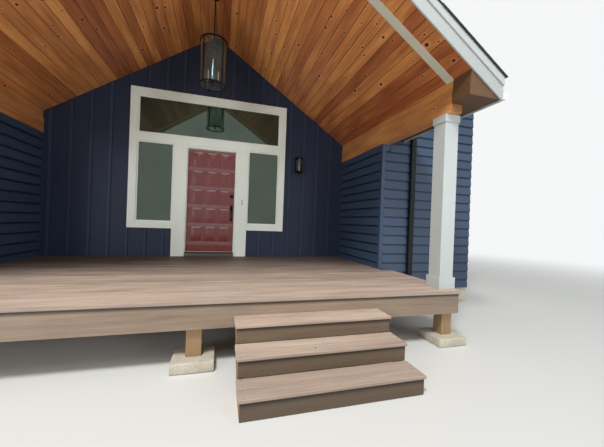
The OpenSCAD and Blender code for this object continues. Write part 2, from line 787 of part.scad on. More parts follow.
// Back plate, arm, domed cap, four rods, and a cup with a drop below the glass
module wall_light() color("black") at_wall_light() {
    rim = sconce_r + 18;
    cap = sconce_cap;
    cup = sconce_cup;
    translate([-60, -14, -85]) cube([120, 14, cap + 125]);
    translate([-8, -sconce_out, cap + 12]) cube([16, sconce_out - 13, 16]);
    translate([0, -sconce_out, 0]) {
        rotate_extrude($fn = 64) polygon([
            [0, cap], [rim, cap], [rim, cap + 8], [rim - 12, cap + 22], [50, cap + 38],
            [20, cap + 46], [8, cap + 50], [8, cap + 60], [12, cap + 68], [5, cap + 80],
            [0, cap + 80]]);
        rotate_extrude($fn = 64) polygon([
            [0, cup], [rim, cup], [rim, cup - 10], [rim - 28, cup - 22], [16, cup - 32],
            [12, cup - 52], [20, cup - 68], [9, cup - 90], [0, cup - 110]]);
        for (a = [45:90:315]) rotate([0, 0, a]) translate([sconce_r + 9, 0, cup - 1])
            cylinder(h = sconce_h + 2, r = 3.5, $fn = 24);
    }
}

module wall_light_glass() color("lightcyan", 0.4) at_wall_light()
    translate([0, -sconce_out, 0]) ring(sconce_r, 4, sconce_cup, sconce_h);

module draw(name) on_ground() children();

draw("foundation_walls") foundation_walls();
draw("deck_footings") deck_footings();
draw("deck_posts") deck_posts();
draw("deck_beam") deck_beam();
draw("deck_joists") deck_joists();
draw("deck_ledger") deck_ledger();
draw("deck_rim") deck_rim();
draw("decking") decking();
draw("stair_stringers") stair_stringers();
draw("stair_risers") stair_risers();
draw("treads") treads();
draw("back_walls") back_walls();
draw("gable_wall") gable_wall();
draw("door_sill_wall") door_sill_wall();
draw("apron_walls") apron_walls();
draw("wall_piers") wall_piers();
draw("entry_header") entry_header();
draw("return_walls") return_walls();
draw("wing_walls") wing_walls();
draw("corner_posts") corner_posts();
draw("entry_casing") entry_casing();
draw("window_frames") window_frames();
draw("window_glass") window_glass();
draw("door_frame") door_frame();
draw("threshold") threshold();
draw("door") door();
draw("door_handles") door_handles();
draw("door_leaves") door_leaves();
draw("frame_hinges") frame_hinges();
draw("doorbell") doorbell();
draw("column_bases") column_bases();
draw("column_shafts") column_shafts();
draw("column_caps") column_caps();
draw("eave_beams") eave_beams();
draw("frieze_boards") frieze_boards();
draw("ceiling_boards") ceiling_boards();
draw("ceiling_strips") ceiling_strips();
draw("ridge_board") ridge_board();
draw("rafters") rafters();
draw("eave_blocking") eave_blocking();
draw("roof_boards") roof_boards();
draw("shingles") shingles();
draw("rake_boards") rake_boards();
draw("eave_fascias") eave_fascias();
draw("eave_soffits") eave_soffits();
draw("eave_returns") eave_returns();
draw("gutters") gutters();
draw("downspouts") downspouts();
draw("lantern_frame") lantern_frame();
draw("lantern_glass") lantern_glass();
draw("candles") candles();
draw("wall_light") wall_light();
draw("wall_light_glass") wall_light_glass();
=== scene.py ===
"""Finishes for an entrance porch: boards, cladding, shingles, paint, glass, stage and camera.

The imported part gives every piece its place. Lengths are in metres.
"""

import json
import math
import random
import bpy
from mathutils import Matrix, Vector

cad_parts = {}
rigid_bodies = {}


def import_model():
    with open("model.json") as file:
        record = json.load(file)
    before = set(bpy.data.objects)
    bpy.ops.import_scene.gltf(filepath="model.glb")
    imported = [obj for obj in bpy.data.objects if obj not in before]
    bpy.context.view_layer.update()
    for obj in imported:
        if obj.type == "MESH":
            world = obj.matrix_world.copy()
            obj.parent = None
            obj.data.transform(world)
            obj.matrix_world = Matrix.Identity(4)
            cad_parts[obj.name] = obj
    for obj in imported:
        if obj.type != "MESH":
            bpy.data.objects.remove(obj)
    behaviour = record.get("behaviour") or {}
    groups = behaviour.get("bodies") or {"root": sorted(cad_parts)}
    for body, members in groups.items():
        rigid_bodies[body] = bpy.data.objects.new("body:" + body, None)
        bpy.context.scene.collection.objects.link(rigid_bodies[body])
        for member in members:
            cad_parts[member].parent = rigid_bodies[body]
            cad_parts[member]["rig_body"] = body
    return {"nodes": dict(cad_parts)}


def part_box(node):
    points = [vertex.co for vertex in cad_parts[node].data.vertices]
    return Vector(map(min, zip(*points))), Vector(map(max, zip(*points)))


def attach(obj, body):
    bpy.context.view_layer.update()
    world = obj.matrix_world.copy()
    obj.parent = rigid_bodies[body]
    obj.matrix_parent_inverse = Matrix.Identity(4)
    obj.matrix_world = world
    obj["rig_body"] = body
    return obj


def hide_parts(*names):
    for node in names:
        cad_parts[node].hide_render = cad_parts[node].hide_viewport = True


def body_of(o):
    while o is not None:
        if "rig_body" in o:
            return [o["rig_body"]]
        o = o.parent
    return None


bl_info = {
    "name": "Entrance Porch Finishes",
    "version": (1, 0, 0),
    "blender": (4, 5, 0),
    "location": "3D View > Sidebar > Porch",
    "description": "Adds boards, cladding, shingles and finishes to a packed entrance porch",
    "category": "Object",
}

import bmesh
import bpy
from bpy.props import FloatProperty, FloatVectorProperty, IntProperty, PointerProperty
from mathutils import Matrix, Vector

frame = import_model()

IMAGE_WIDTH = 604
SENSOR = 36.0
BACKDROP = (0.92, 0.93, 0.935)
PORCH = "porch"

# Shortest and longest boards of a course, and shortest and longest tabs of a shingle
CEILING_LENGTHS = (2.2, 4.2)
LAP_LENGTHS = (1.2, 3.7)
TAB_WIDTHS = (0.16, 0.34)
# Places of the joints in the deck's courses, from its left edge
DECK_JOINTS = (0.7, 1.1, 1.5)
# Height of a screw's head, and its distance from a board's edge
SCREW_HEIGHT = 0.0012
SCREW_INSET = 0.024
# How far a lap board reaches up behind the next one
LAP_HIDDEN = 0.012
# Length of a whole shingle, in exposed lengths
SHINGLE_LENGTH = 1.7
# Size of a ridge cap, and how much of its length shows
CAP_WIDTH = 0.15
CAP_LENGTH = 0.3
CAP_THICKNESS = 0.004
CAP_EXPOSED = 0.15
# Edges of more than that many degrees stay sharp; the door's raised panels need fewer
SHARP = 26
DOOR_SHARP = 15
# Where the floor starts to fade to the backdrop, and where it has faded
FLOOR_FADE = (6.5, 18.0)
# The viewpoint worked out from the photo's straight edges: focal length in pixels, place, and
# degrees of turn, tilt and roll
FOCAL_PIXELS = 284.54
EYE = (0.2023, -4.046, 1.3872)
LOOK = (15.948, -0.242, 2.139)


def properties(make, table):
    """Properties from {name: (default, description)}, labelled with their names."""
    return {
        name: make(name=name.replace("_", " ").capitalize(), description=text, default=default)
        for name, (default, text) in table.items()
    }


def colour_property(**values):
    return FloatVectorProperty(size=3, min=0, max=1, subtype="COLOR", **values)


def length_property(**values):
    return FloatProperty(min=0, unit="LENGTH", precision=4, **values)


def power_property(**values):
    return FloatProperty(unit="POWER", **values)


class PorchSizes(bpy.types.PropertyGroup):
    """Sizes of the boards, cladding and shingles"""

    __annotations__ = {
        **properties(length_property, {
            "ceiling_board": (0.1432, "Face width of a ceiling board"),
            "ceiling_bevel": (0.005, "Bevel along a ceiling board's edges"),
            "deck_board": (0.139, "Width of a deck board"),
            "deck_gap": (0.005, "Gap between deck boards"),
            "joist_pitch": (0.406, "Distance between the deck's rows of screws"),
            "screw": (0.0045, "Radius of a deck screw's head"),
            "batten": (0.05, "Width of a wall batten"),
            "batten_depth": (0.019, "Thickness of a wall batten"),
            "batten_pitch": (0.305, "Distance from batten to batten"),
            "trim_lap": (0.018, "How far the trim covers the edges of the wall openings"),
            "sill_trim": (0.125, "Height of the trim under the side windows"),
            "frieze_step": (0.012, "How far the frieze boards stand back from the beams"),
            "door_height": (2.032, "Height of the door leaf"),
            "bottom_rail": (0.19, "Height of the door's bottom rail"),
            "rail": (0.05, "Height of a rail between the door's panels"),
            "top_rail": (0.046, "Height of the door's top rail"),
            "tread": (0.026, "Thickness of a tread board"),
            "going": (0.262, "Depth of a step from riser to riser"),
            "tread_gap": (0.004, "Gap between the two boards of a tread"),
            "lap": (0.158, "Exposed height of a cladding board"),
            "lap_butt": (0.019, "Thickness of a cladding board's lower edge"),
            "shingle": (0.143, "Exposed length of a shingle along the slope"),
            "shingle_butt": (0.006, "Thickness of a shingle's lower edge"),
            "candle_ring": (0.09, "Distance of the lantern's candles from its middle"),
            "sleeve_radius": (0.012, "Radius of a candle's sleeve"),
        }),
        "batten_start": FloatProperty(
            name="Batten start", description="Place of one batten, from the middle",
            default=0.055, unit="LENGTH",
        ),
        "door_panels": IntProperty(
            name="Door panels", description="Number of panels up the door", default=5
        ),
    }


class PorchColours(bpy.types.PropertyGroup):
    """Colours of the paints, stains and bare surfaces"""

    __annotations__ = properties(colour_property, {
        "navy": ((0.018, 0.027, 0.056), "Paint of the wall behind the porch"),
        "blue": ((0.037, 0.065, 0.121), "Paint of the lap cladding"),
        "trim": ((0.85, 0.91, 0.845), "Paint of the casings"),
        "cream": ((0.60, 0.58, 0.47), "Paint of the strip on the ceiling"),
        # White like the trim, but set darker as a painted shade
        "column": ((0.475, 0.502, 0.497), "Paint of the columns, rakes and fascias"),
        "door": ((0.178, 0.030, 0.026), "Paint of the door"),
        "pine": ((0.76, 0.335, 0.100), "Light wood of the ceiling"),
        "pine_dark": ((0.36, 0.112, 0.032), "Dark streaks of the ceiling wood"),
        "beam": ((0.66, 0.300, 0.098), "Light wood of the beams"),
        "beam_dark": ((0.36, 0.135, 0.038), "Dark streaks of the beams"),
        # The boxed eaves are given a far darker wood than the ceiling's, as a painted shade of the
        # overhang
        "soffit": ((0.125, 0.058, 0.021), "Light wood of the boxed eaves"),
        "soffit_dark": ((0.075, 0.036, 0.013), "Dark streaks of the boxed eaves"),
        "deck": ((0.70, 0.545, 0.445), "Light wood of the deck"),
        "deck_dark": ((0.27, 0.195, 0.15), "Dark streaks of the deck wood"),
        "rim": ((0.31, 0.228, 0.168), "Light wood of the rim boards"),
        "rim_dark": ((0.18, 0.126, 0.088), "Dark streaks of the rim boards"),
        # The risers are the rim's wood, given a darker colour as a painted shade
        "riser": ((0.165, 0.114, 0.073), "Light wood of the risers"),
        "riser_dark": ((0.095, 0.062, 0.037), "Dark streaks of the risers"),
        "timber": ((0.36, 0.23, 0.12), "Posts, beams and joists"),
        "timber_dark": ((0.225, 0.132, 0.062), "Streaks of the posts and joists"),
        "concrete": ((0.58, 0.52, 0.43), "Footings and foundation"),
        "shingle": ((0.055, 0.057, 0.06), "Roof shingles"),
        "plaster": ((0.62, 0.61, 0.58), "Room side of the walls"),
    })


class PorchStage(bpy.types.PropertyGroup):
    """Floor, lamps, world and camera"""

    __annotations__ = {
        "floor": colour_property(
            name="Floor", description="Colour of the floor", default=(0.72, 0.715, 0.70)
        ),
        "world_strength": FloatProperty(
            name="World", description="Strength of the even light", default=0.38
        ),
        **properties(power_property, {
            "key_power": (1400.0, "Power of the high front lamp"),
            "left_power": (450.0, "Power of the left side lamp"),
            "right_power": (300.0, "Power of the right side lamp"),
            "strip_power": (90.0, "Power of the narrow lamp that the lantern mirrors"),
        }),
        "seed": IntProperty(name="Seed", description="Start of the random draws", default=7),
    }


def settings():
    scene = bpy.context.scene
    return scene.porch_sizes, scene.porch_colours, scene.porch_stage


def rgba(colour):
    return (colour[0], colour[1], colour[2], 1.0)


def darker(colour, share):
    return tuple(c * share for c in colour)


class Tree:
    """Adds nodes to a node tree. An input that is given a socket is linked to it."""

    def __init__(self, tree):
        self.tree = tree

    def add(self, kind, inputs=None, **values):
        node = self.tree.nodes.new(kind)
        for name, value in values.items():
            setattr(node, name, value)
        for key, value in (inputs or {}).items():
            self.feed(node.inputs[key], value)
        return node

    def feed(self, socket, value):
        if isinstance(value, bpy.types.NodeSocket):
            self.tree.links.new(value, socket)
        else:
            socket.default_value = value

    def math(self, operation, first, second=0.0, third=0.0, clamp=False):
        node = self.add("ShaderNodeMath", {0: first, 1: second, 2: third}, operation=operation)
        node.use_clamp = clamp
        return node.outputs[0]

    def times(self, first, second):
        return self.math("MULTIPLY", first, second)

    def scaled(self, value, factor, added):
        return self.math("MULTIPLY_ADD", value, factor, added)

    def vary(self, value, amount, base):
        """The base, moved up and down by a value that lies round a half."""
        return self.scaled(self.math("SUBTRACT", value, 0.5), amount, base)

    def fade(self, value, low, high):
        """0 at low, 1 at high, smooth between; low may be the larger."""
        inputs = {"Value": value, "From Min": low, "From Max": high}
        node = self.add("ShaderNodeMapRange", inputs, interpolation_type="SMOOTHSTEP")
        return node.outputs[0]

    def mix(self, factor, first, second, blend="MIX"):
        node = self.add("ShaderNodeMix", data_type="RGBA", blend_type=blend)
        self.feed(node.inputs[0], factor)
        self.feed(node.inputs[6], first)
        self.feed(node.inputs[7], second)
        return node.outputs[2]

    def shaded(self, colour, value):
        inputs = {"Value": value, "Color": colour}
        return self.add("ShaderNodeHueSaturation", inputs).outputs[0]

    def noise(self, vector, scale=1.0, detail=2.0, roughness=0.5):
        inputs = {"Vector": vector, "Scale": scale, "Detail": detail, "Roughness": roughness}
        return self.add("ShaderNodeTexNoise", inputs).outputs["Fac"]

    def stretch(self, vector, x, y, z):
        node = self.add("ShaderNodeVectorMath", {0: vector, 1: (x, y, z)}, operation="MULTIPLY")
        return node.outputs[0]

    def bump(self, height, strength, distance):
        inputs = {"Height": height, "Strength": strength, "Distance": distance}
        return self.add("ShaderNodeBump", inputs).outputs[0]

    def split(self, vector):
        return self.add("ShaderNodeSeparateXYZ", {0: vector}).outputs

    def place(self):
        return self.add("ShaderNodeTexCoord").outputs["Object"]

    def facing(self):
        """The parts of the direction that a face looks in."""
        return self.split(self.add("ShaderNodeNewGeometry").outputs["True Normal"])

    def board_tone(self):
        values = {"attribute_name": "tone", "attribute_type": "GEOMETRY"}
        return self.add("ShaderNodeAttribute", **values).outputs["Fac"]

    def from_edges(self):
        """Distances from a board's lower and upper long edge."""
        return self.split(self.add("ShaderNodeUVMap", uv_map="across").outputs[0])

    def seen(self):
        """1 for what the camera sees, in glass and in mirrors too."""
        path = self.add("ShaderNodeLightPath").outputs
        rays = self.math("MAXIMUM", path["Is Camera Ray"], path["Is Glossy Ray"])
        return self.math("MAXIMUM", rays, path["Is Transmission Ray"])


class Surface(Tree):
    """A new material with a Principled shader"""

    def __init__(self, name):
        self.material = bpy.data.materials.new("finish_" + name)
        self.material.use_nodes = True
        super().__init__(self.material.node_tree)
        self.tree.nodes.clear()
        self.shader = self.add("ShaderNodeBsdfPrincipled")
        self.output = self.add("ShaderNodeOutputMaterial")
        self.tree.links.new(self.shader.outputs[0], self.output.inputs[0])

    def done(self, inputs):
        """Sets inputs of the shader and returns the material."""
        for key, value in inputs.items():
            self.feed(self.shader.inputs[key], value)
        return self.material


def node_group(name, inputs, outputs, build):
    """A shader node group made once. inputs are {name: default}; all but the vector are numbers."""
    group = bpy.data.node_groups.get(name)
    if group:
        return group
    group = bpy.data.node_groups.new(name, "ShaderNodeTree")
    group.interface.new_socket("Vector", in_out="INPUT", socket_type="NodeSocketVector")
    for key, default in inputs.items():
        socket = group.interface.new_socket(key, in_out="INPUT", socket_type="NodeSocketFloat")
        socket.default_value = default
    for key in outputs:
        group.interface.new_socket(key, in_out="OUTPUT", socket_type="NodeSocketFloat")
    t = Tree(group)
    results = build(t, t.add("NodeGroupInput").outputs)
    t.add("NodeGroupOutput", results)
    return group


def build_wood_figure(t, given):
    """Rings, streaks, knots and fibres of a flat-sawn board. X runs along the board."""
    parts = t.split(given["Vector"])
    along, across, deep = parts[0], parts[1], parts[2]
    side = t.scaled(deep, 0.7, across)

    def field(x_scale, y_scale, detail, roughness=0.5):
        flat = t.add("ShaderNodeCombineXYZ", {0: t.times(along, x_scale), 1: t.times(side, y_scale)})
        return t.noise(flat.outputs[0], 1.0, detail, roughness)

    flow = t.math("SUBTRACT", field(0.8, 3.2, 1.0), 0.5)
    ripple = t.math("SUBTRACT", field(3.5, 16.0, 2.0), 0.5)
    spacing = given["Knot spacing"]
    cell = t.add("ShaderNodeCombineXYZ", {
        0: t.math("DIVIDE", t.times(along, 0.75), spacing),
        1: t.math("DIVIDE", side, spacing),
    })
    inputs = {"Vector": cell.outputs[0], "Scale": 1.0}
    knots = t.add("ShaderNodeTexVoronoi", inputs, voronoi_dimensions="2D").outputs
    chance = t.add("ShaderNodeSeparateColor", {0: knots["Color"]}).outputs
    size = t.times(given["Knot size"], t.scaled(chance[1], 0.95, 0.4))
    wobble = t.scaled(t.noise(given["Vector"], 60.0, 1.0), 0.6, 0.7)
    distance = t.times(t.times(knots["Distance"], spacing), wobble)
    kept = t.math("GREATER_THAN", chance[0], t.math("SUBTRACT", 1.0, given["Knot share"]))

    def spot(outer, inner):
        """1 within inner knot radii and 0 beyond outer ones."""
        return t.times(t.fade(distance, t.times(size, outer), t.times(size, inner)), kept)

    reach = t.math("DIVIDE", distance, t.times(size, 3.0))
    bulge = t.times(t.math("EXPONENT", t.times(t.math("POWER", reach, 2.0), -1.0)), kept)
    rings = t.math("DIVIDE", side, given["Ring width"])
    for value, amount in ((flow, 7.0), (ripple, 0.7), (bulge, 2.2)):
        rings = t.scaled(value, amount, rings)
    wave = t.math("SINE", t.times(rings, 2 * math.pi))
    figure = t.math("POWER", t.scaled(wave, 0.5, 0.5), 2.4)
    return {
        "Figure": t.times(figure, t.fade(field(1.6, 9.0, 2.0), 0.32, 0.68)),
        "Knot": spot(1.0, 0.75),
        "Core": spot(0.66, 0.3),
        "Halo": spot(2.4, 1.0),
        "Streak": field(1.3, 46.0, 3.0, 0.6),
        "Fibre": field(6.0, 300.0, 2.0, 0.6),
        "Patch": field(1.1, 7.0, 2.0),
    }


def wood_figure():
    inputs = {"Ring width": 0.02, "Knot spacing": 0.3, "Knot size": 0.014, "Knot share": 0.7}
    outputs = ("Figure", "Knot", "Core", "Halo", "Streak", "Fibre", "Patch")
    return node_group("wood_figure", inputs, outputs, build_wood_figure)


def build_paint_skin(t, given):
    """Brush marks, specks and faint dirt of painted boards. X runs along the board."""
    brush = t.noise(t.stretch(given["Vector"], 6.0, 160.0, 160.0), 1.0, 3.0, 0.6)
    grit = t.noise(given["Vector"], 420.0, 2.0, 0.6)
    stain = t.noise(t.stretch(given["Vector"], 1.6, 9.0, 9.0), 1.0, 4.0, 0.65)
    return {
        "Brush": brush,
        "Cloud": t.noise(given["Vector"], 2.6, 3.0, 0.6),
        "Stain": t.fade(stain, 0.5, 0.78),
        "Height": t.scaled(grit, given["Grit"], brush),
    }


def paint_skin():
    outputs = ("Brush", "Cloud", "Stain", "Height")
    return node_group("paint_skin", {"Grit": 0.3}, outputs, build_paint_skin)


TURNS = {
    "x": (0.0, 0.0, 0.0),
    "y": (0.0, 0.0, -math.pi / 2),
    "z": (0.0, math.pi / 2, 0.0),
}


def board_coordinates(t, along):
    """Coordinates with X along the boards: the piece's own map, or its place turned."""
    if along == "map":
        return t.add("ShaderNodeUVMap", uv_map="board").outputs[0]
    inputs = {"Vector": t.place(), "Rotation": TURNS[along]}
    return t.add("ShaderNodeMapping", inputs).outputs[0]


# Dark tint multiplied into the back of the deck: a painted shade of the porch roof
ROOF_SHADE_TINT = (0.19, 0.182, 0.176)
RUDDY = (0.78, 0.55, 0.56)


def wood(name, along, light, dark, knot=(0.03, 0.012, 0.006), rough=0.5, ring=0.012, knot_size=0.014,
         knot_share=0.7, spacing=0.3, tone=0.22, rings=0.3, streaks=0.7, bump=0.35, coat=0.0,
         patch=0.3, red=0.0, joint=0.0, roof_shade=None, nosing=None, ground=0.0, ends=0.0):
    """Wood with rings, streaks, knots and fibres, and its own shade for each board.

    roof_shade gives two places from front to back: the wood darkens from the first to the second and
    stays darkest behind it, a painted shade of the porch roof.
    nosing gives the height of the underside of a board that overhangs, and the pitch at which such
    boards repeat: just below each the wood is darkened as a painted shadow. ground is how much wood
    near the ground darkens, and ends how much darker end grain is.
    """
    t = Surface(name)
    out = t.add("ShaderNodeGroup", {}, node_tree=wood_figure())
    inputs = {
        "Vector": board_coordinates(t, along), "Ring width": ring, "Knot size": knot_size,
        "Knot share": knot_share, "Knot spacing": spacing,
    }
    for key, value in inputs.items():
        t.feed(out.inputs[key], value)
    out = out.outputs
    own = t.board_tone()

    def darken(colour, amount, share):
        return t.mix(amount, colour, rgba(darker(dark, share)))

    amount = t.scaled(out["Figure"], rings, 0.36)
    amount = t.vary(out["Streak"], streaks * 2, amount)
    amount = t.vary(out["Fibre"], 0.5, amount)
    amount = t.vary(out["Patch"], patch * 2, amount)
    amount = t.math("MULTIPLY_ADD", own, -0.5 * tone, amount, clamp=True)
    colour = t.mix(amount, rgba(light), rgba(dark))
    pale = tuple(c * 0.9 + 0.1 for c in light)
    colour = t.mix(t.times(out["Halo"], 0.6), colour, rgba(pale))
    colour = t.mix(out["Knot"], colour, rgba(knot))
    colour = darken(colour, t.times(out["Core"], 0.25), 0.5)
    if red:
        colour = t.mix(t.times(t.fade(own, 0.7, -0.9), red), colour, rgba(RUDDY), "MULTIPLY")
    if joint:
        edges = t.from_edges()
        line = t.fade(t.math("MINIMUM", edges[0], edges[1]), joint, joint * 0.4)
        colour = darken(colour, t.times(line, 0.42), 0.4)
    # Painted shade: the deck darkens towards the back, as under the porch roof
    if roof_shade:
        far = t.scaled(out["Patch"], 0.6, t.split(t.place())[1])
        colour = t.mix(t.fade(far, *roof_shade), colour, rgba(ROOF_SHADE_TINT), "MULTIPLY")
    if ends:
        end = t.math("GREATER_THAN", t.math("ABSOLUTE", t.facing()["xyz".index(along)]), 0.9)
        colour = darken(colour, t.times(end, ends), 0.5)
    up = t.split(t.place())[2] if ground or nosing else None
    # Darker towards the bottom
    if ground:
        low_down = t.fade(t.scaled(out["Patch"], 0.1, up), 0.55, 0.12)
        colour = darken(colour, t.times(low_down, ground), 0.5)
    # Painted shadow: a dark band just below each overhanging board's nosing
    if nosing:
        below = t.math("FLOORED_MODULO", t.math("SUBTRACT", nosing[0], up), nosing[1])
        colour = darken(colour, t.times(t.fade(below, 0.05, 0.008), 0.92), 0.22)
    height = t.scaled(out["Knot"], -0.5, t.scaled(out["Figure"], 0.35, out["Fibre"]))
    return t.done({
        "Base Color": t.shaded(colour, t.scaled(own, tone, 1.0)),
        "Roughness": t.scaled(out["Fibre"], 0.16, rough - 0.08),
        "Normal": t.bump(height, bump, 0.0012),
        "Coat Weight": coat,
        "Coat Roughness": 0.3,
    })


DIRT = (0.30, 0.24, 0.17)
# Pale pink of a painted highlight on faces that look up
SHEEN_TINT = (0.62, 0.55, 0.55)


def paint(name, along, colour, rough=0.42, bump=0.25, grit=0.3, dirt=0.12, room_side=None,
          variation=0.08, specular=0.5, coat=0.0, lap=0.0, sheen=0.0, rail_sheen=None):
    """Brushed paint with faint dirt. room_side gives the colour of faces that look into the house:
    those at the back, or on walls that run along y the outer ones.

    lap is the exposed height of a lap board: just under the board above, each board is darkened as a
    painted shade. sheen is how much faces that look up are lightened, a painted highlight as if they
    mirrored the sky. rail_sheen gives the height of a door's lowest rail between panels and their
    pitch: the rails get the same painted highlight.
    """
    t = Surface(name)
    skin = t.add("ShaderNodeGroup", node_tree=paint_skin())
    t.feed(skin.inputs["Vector"], board_coordinates(t, along))
    t.feed(skin.inputs["Grit"], grit)
    out = skin.outputs
    shade = t.vary(out["Cloud"], variation * 2, 1.0)
    shade = t.vary(out["Brush"], variation, shade)
    shade = t.scaled(t.board_tone(), 0.07, shade)
    painted = t.shaded(rgba(colour), shade)
    dirty = tuple(c * 0.55 + d * 0.1 for c, d in zip(colour, DIRT))
    painted = t.mix(t.times(out["Stain"], dirt), painted, rgba(dirty))
    # Painted shade: a dark band on each lap board just under the board above
    if lap:
        lap_shadow = t.fade(t.from_edges()[0], lap - 0.042, lap - 0.014)
        painted = t.mix(t.times(lap_shadow, 0.92), painted, rgba(darker(colour, 0.15)))
    # Painted highlight: faces that look up, and bands on the door's rails, lighten towards a pale pink
    # as if they mirrored the sky
    if sheen:
        sheen_mask = t.times(t.fade(t.facing()[2], 0.1, 0.4), sheen)
        if rail_sheen:
            up = t.split(t.place())[2]
            off = t.math("PINGPONG", t.math("SUBTRACT", up, rail_sheen[0]), rail_sheen[1] / 2)
            sheen_mask = t.math("MAXIMUM", sheen_mask, t.times(t.fade(off, 0.045, 0.018), 0.28))
        pale = tuple(c * 0.4 + d * 0.45 for c, d in zip(colour, SHEEN_TINT))
        painted = t.mix(sheen_mask, painted, rgba(pale))
    if room_side:
        facing = t.facing()
        inside = facing[1]
        if along == "y":
            inside = t.times(facing[0], t.math("SIGN", t.split(t.place())[0]))
        painted = t.mix(t.math("GREATER_THAN", inside, 0.9), painted, rgba(room_side))
    return t.done({
        "Base Color": painted,
        "Roughness": t.scaled(out["Cloud"], 0.14, rough - 0.07),
        "Normal": t.bump(out["Height"], bump, 0.0008),
        "Specular IOR Level": specular,
        "Coat Weight": coat,
        "Coat Roughness": 0.12,
    })


def concrete(name):
    """Rough cast concrete with pores, blotches and damp towards the ground."""
    t = Surface(name)
    colour = settings()[1].concrete
    place = t.place()
    blotch = t.noise(place, 5.0, 5.0, 0.65)
    sand = t.noise(place, 240.0, 3.0, 0.7)
    lumps = t.noise(place, 38.0, 4.0, 0.7)
    pores = t.add("ShaderNodeTexVoronoi", {"Vector": place, "Scale": 60.0}).outputs["Distance"]
    pit = t.fade(pores, 0.16, 0.05)
    shade = 1.0
    for value, amount in ((blotch, 0.55), (sand, 0.35), (lumps, 0.7)):
        shade = t.vary(value, amount, shade)
    damp = t.times(t.fade(t.scaled(blotch, 0.12, t.split(place)[2]), 0.16, 0.03), 0.45)
    tint = t.mix(damp, t.shaded(rgba(colour), shade), rgba(darker(colour, 0.45)))
    height = t.scaled(sand, 0.12, t.scaled(pit, -0.25, lumps))
    return t.done({
        "Base Color": t.mix(pit, tint, rgba(darker(colour, 0.4))),
        "Roughness": 0.9,
        "Normal": t.bump(height, 0.9, 0.012),
    })


def metal(name, colour, rough=0.4, metallic=0.0, wear=0.15, grain=(300.0, 300.0, 300.0), specular=0.5):
    """Painted or bare metal, or plastic, with soft smudges."""
    t = Surface(name)
    place = t.place()
    smudge = t.noise(place, 14.0, 4.0, 0.6)
    fine = t.noise(t.stretch(place, *grain), 1.0, 2.0)
    return t.done({
        "Base Color": t.shaded(rgba(colour), t.vary(smudge, wear * 2, 1.0)),
        "Metallic": metallic,
        "Specular IOR Level": specular,
        "Roughness": t.scaled(smudge, 0.2, rough - 0.1),
        "Normal": t.bump(fine, 0.12, 0.0004),
    })


def window_glass(name):
    """Dark glazing before an unlit room, with green clouds and a green specular tint painted in as a
    reflection of a garden, and the faint waviness of rolled glass.
    """
    t = Surface(name)
    place = t.place()
    reflection_cloud = t.fade(t.noise(place, 1.7, 3.0, 0.55), 0.35, 0.7)
    return t.done({
        # Painted reflection: the green base and green specular tint stand for a garden mirrored in the
        # panes, and the dark stands for the unlit room behind them
        "Base Color": t.mix(reflection_cloud, (0.006, 0.013, 0.007, 1), (0.020, 0.036, 0.018, 1)),
        "Roughness": 0.02,
        "IOR": 1.85,
        "Specular Tint": (0.84, 1.0, 0.83, 1),
        "Normal": t.bump(t.noise(place, 3.0, 1.0), 0.03, 0.01),
    })


def lamp_glass(name, tint):
    """Smoked glass with the faint streaks of drawn glass."""
    t = Surface(name)
    wave = t.noise(t.stretch(t.place(), 9.0, 9.0, 1.5), 1.0, 1.0)
    return t.done({
        "Base Color": t.mix(wave, rgba(darker(tint, 0.86)), rgba(tint)),
        "Transmission Weight": 0.97,
        "Roughness": 0.02,
        "IOR": 1.62,
        "Specular Tint": (0.6, 0.85, 1.0, 1),
        "Normal": t.bump(wave, 0.05, 0.01),
    })


def shingle_surface(name):
    """Mineral granules in mixed greys, with a shade of its own for each tab."""
    t = Surface(name)
    place = t.place()
    cell = t.add("ShaderNodeTexVoronoi", {"Vector": place, "Scale": 420.0}).outputs
    grain = t.add("ShaderNodeSeparateColor", {0: cell["Color"]}).outputs[0]
    shade = t.vary(t.noise(place, 9.0, 3.0, 0.6), 0.5, t.scaled(grain, 0.9, 0.55))
    shade = t.scaled(t.board_tone(), 0.35, shade)
    return t.done({
        "Base Color": t.shaded(rgba(settings()[1].shingle), shade),
        "Roughness": 0.92,
        "Normal": t.bump(cell["Distance"], 0.5, 0.0015),
    })


def wax(name):
    """Ivory candle sleeves that let a little light in."""
    t = Surface(name)
    drip = t.noise(t.stretch(t.place(), 60.0, 60.0, 9.0), 1.0, 2.0)
    return t.done({
        "Base Color": t.mix(drip, (0.86, 0.83, 0.74, 1), (0.74, 0.68, 0.54, 1)),
        "Roughness": 0.45,
        "Subsurface Weight": 0.2,
        "Subsurface Radius": (0.01, 0.006, 0.003),
        "Normal": t.bump(drip, 0.2, 0.001),
    })


def rise_of_treads(sizes):
    """The height from tread to tread, from the box of all of them."""
    low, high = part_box("treads")
    return (high.z - low.z - sizes.tread) / (round((high.y - low.y) / sizes.going) - 1)


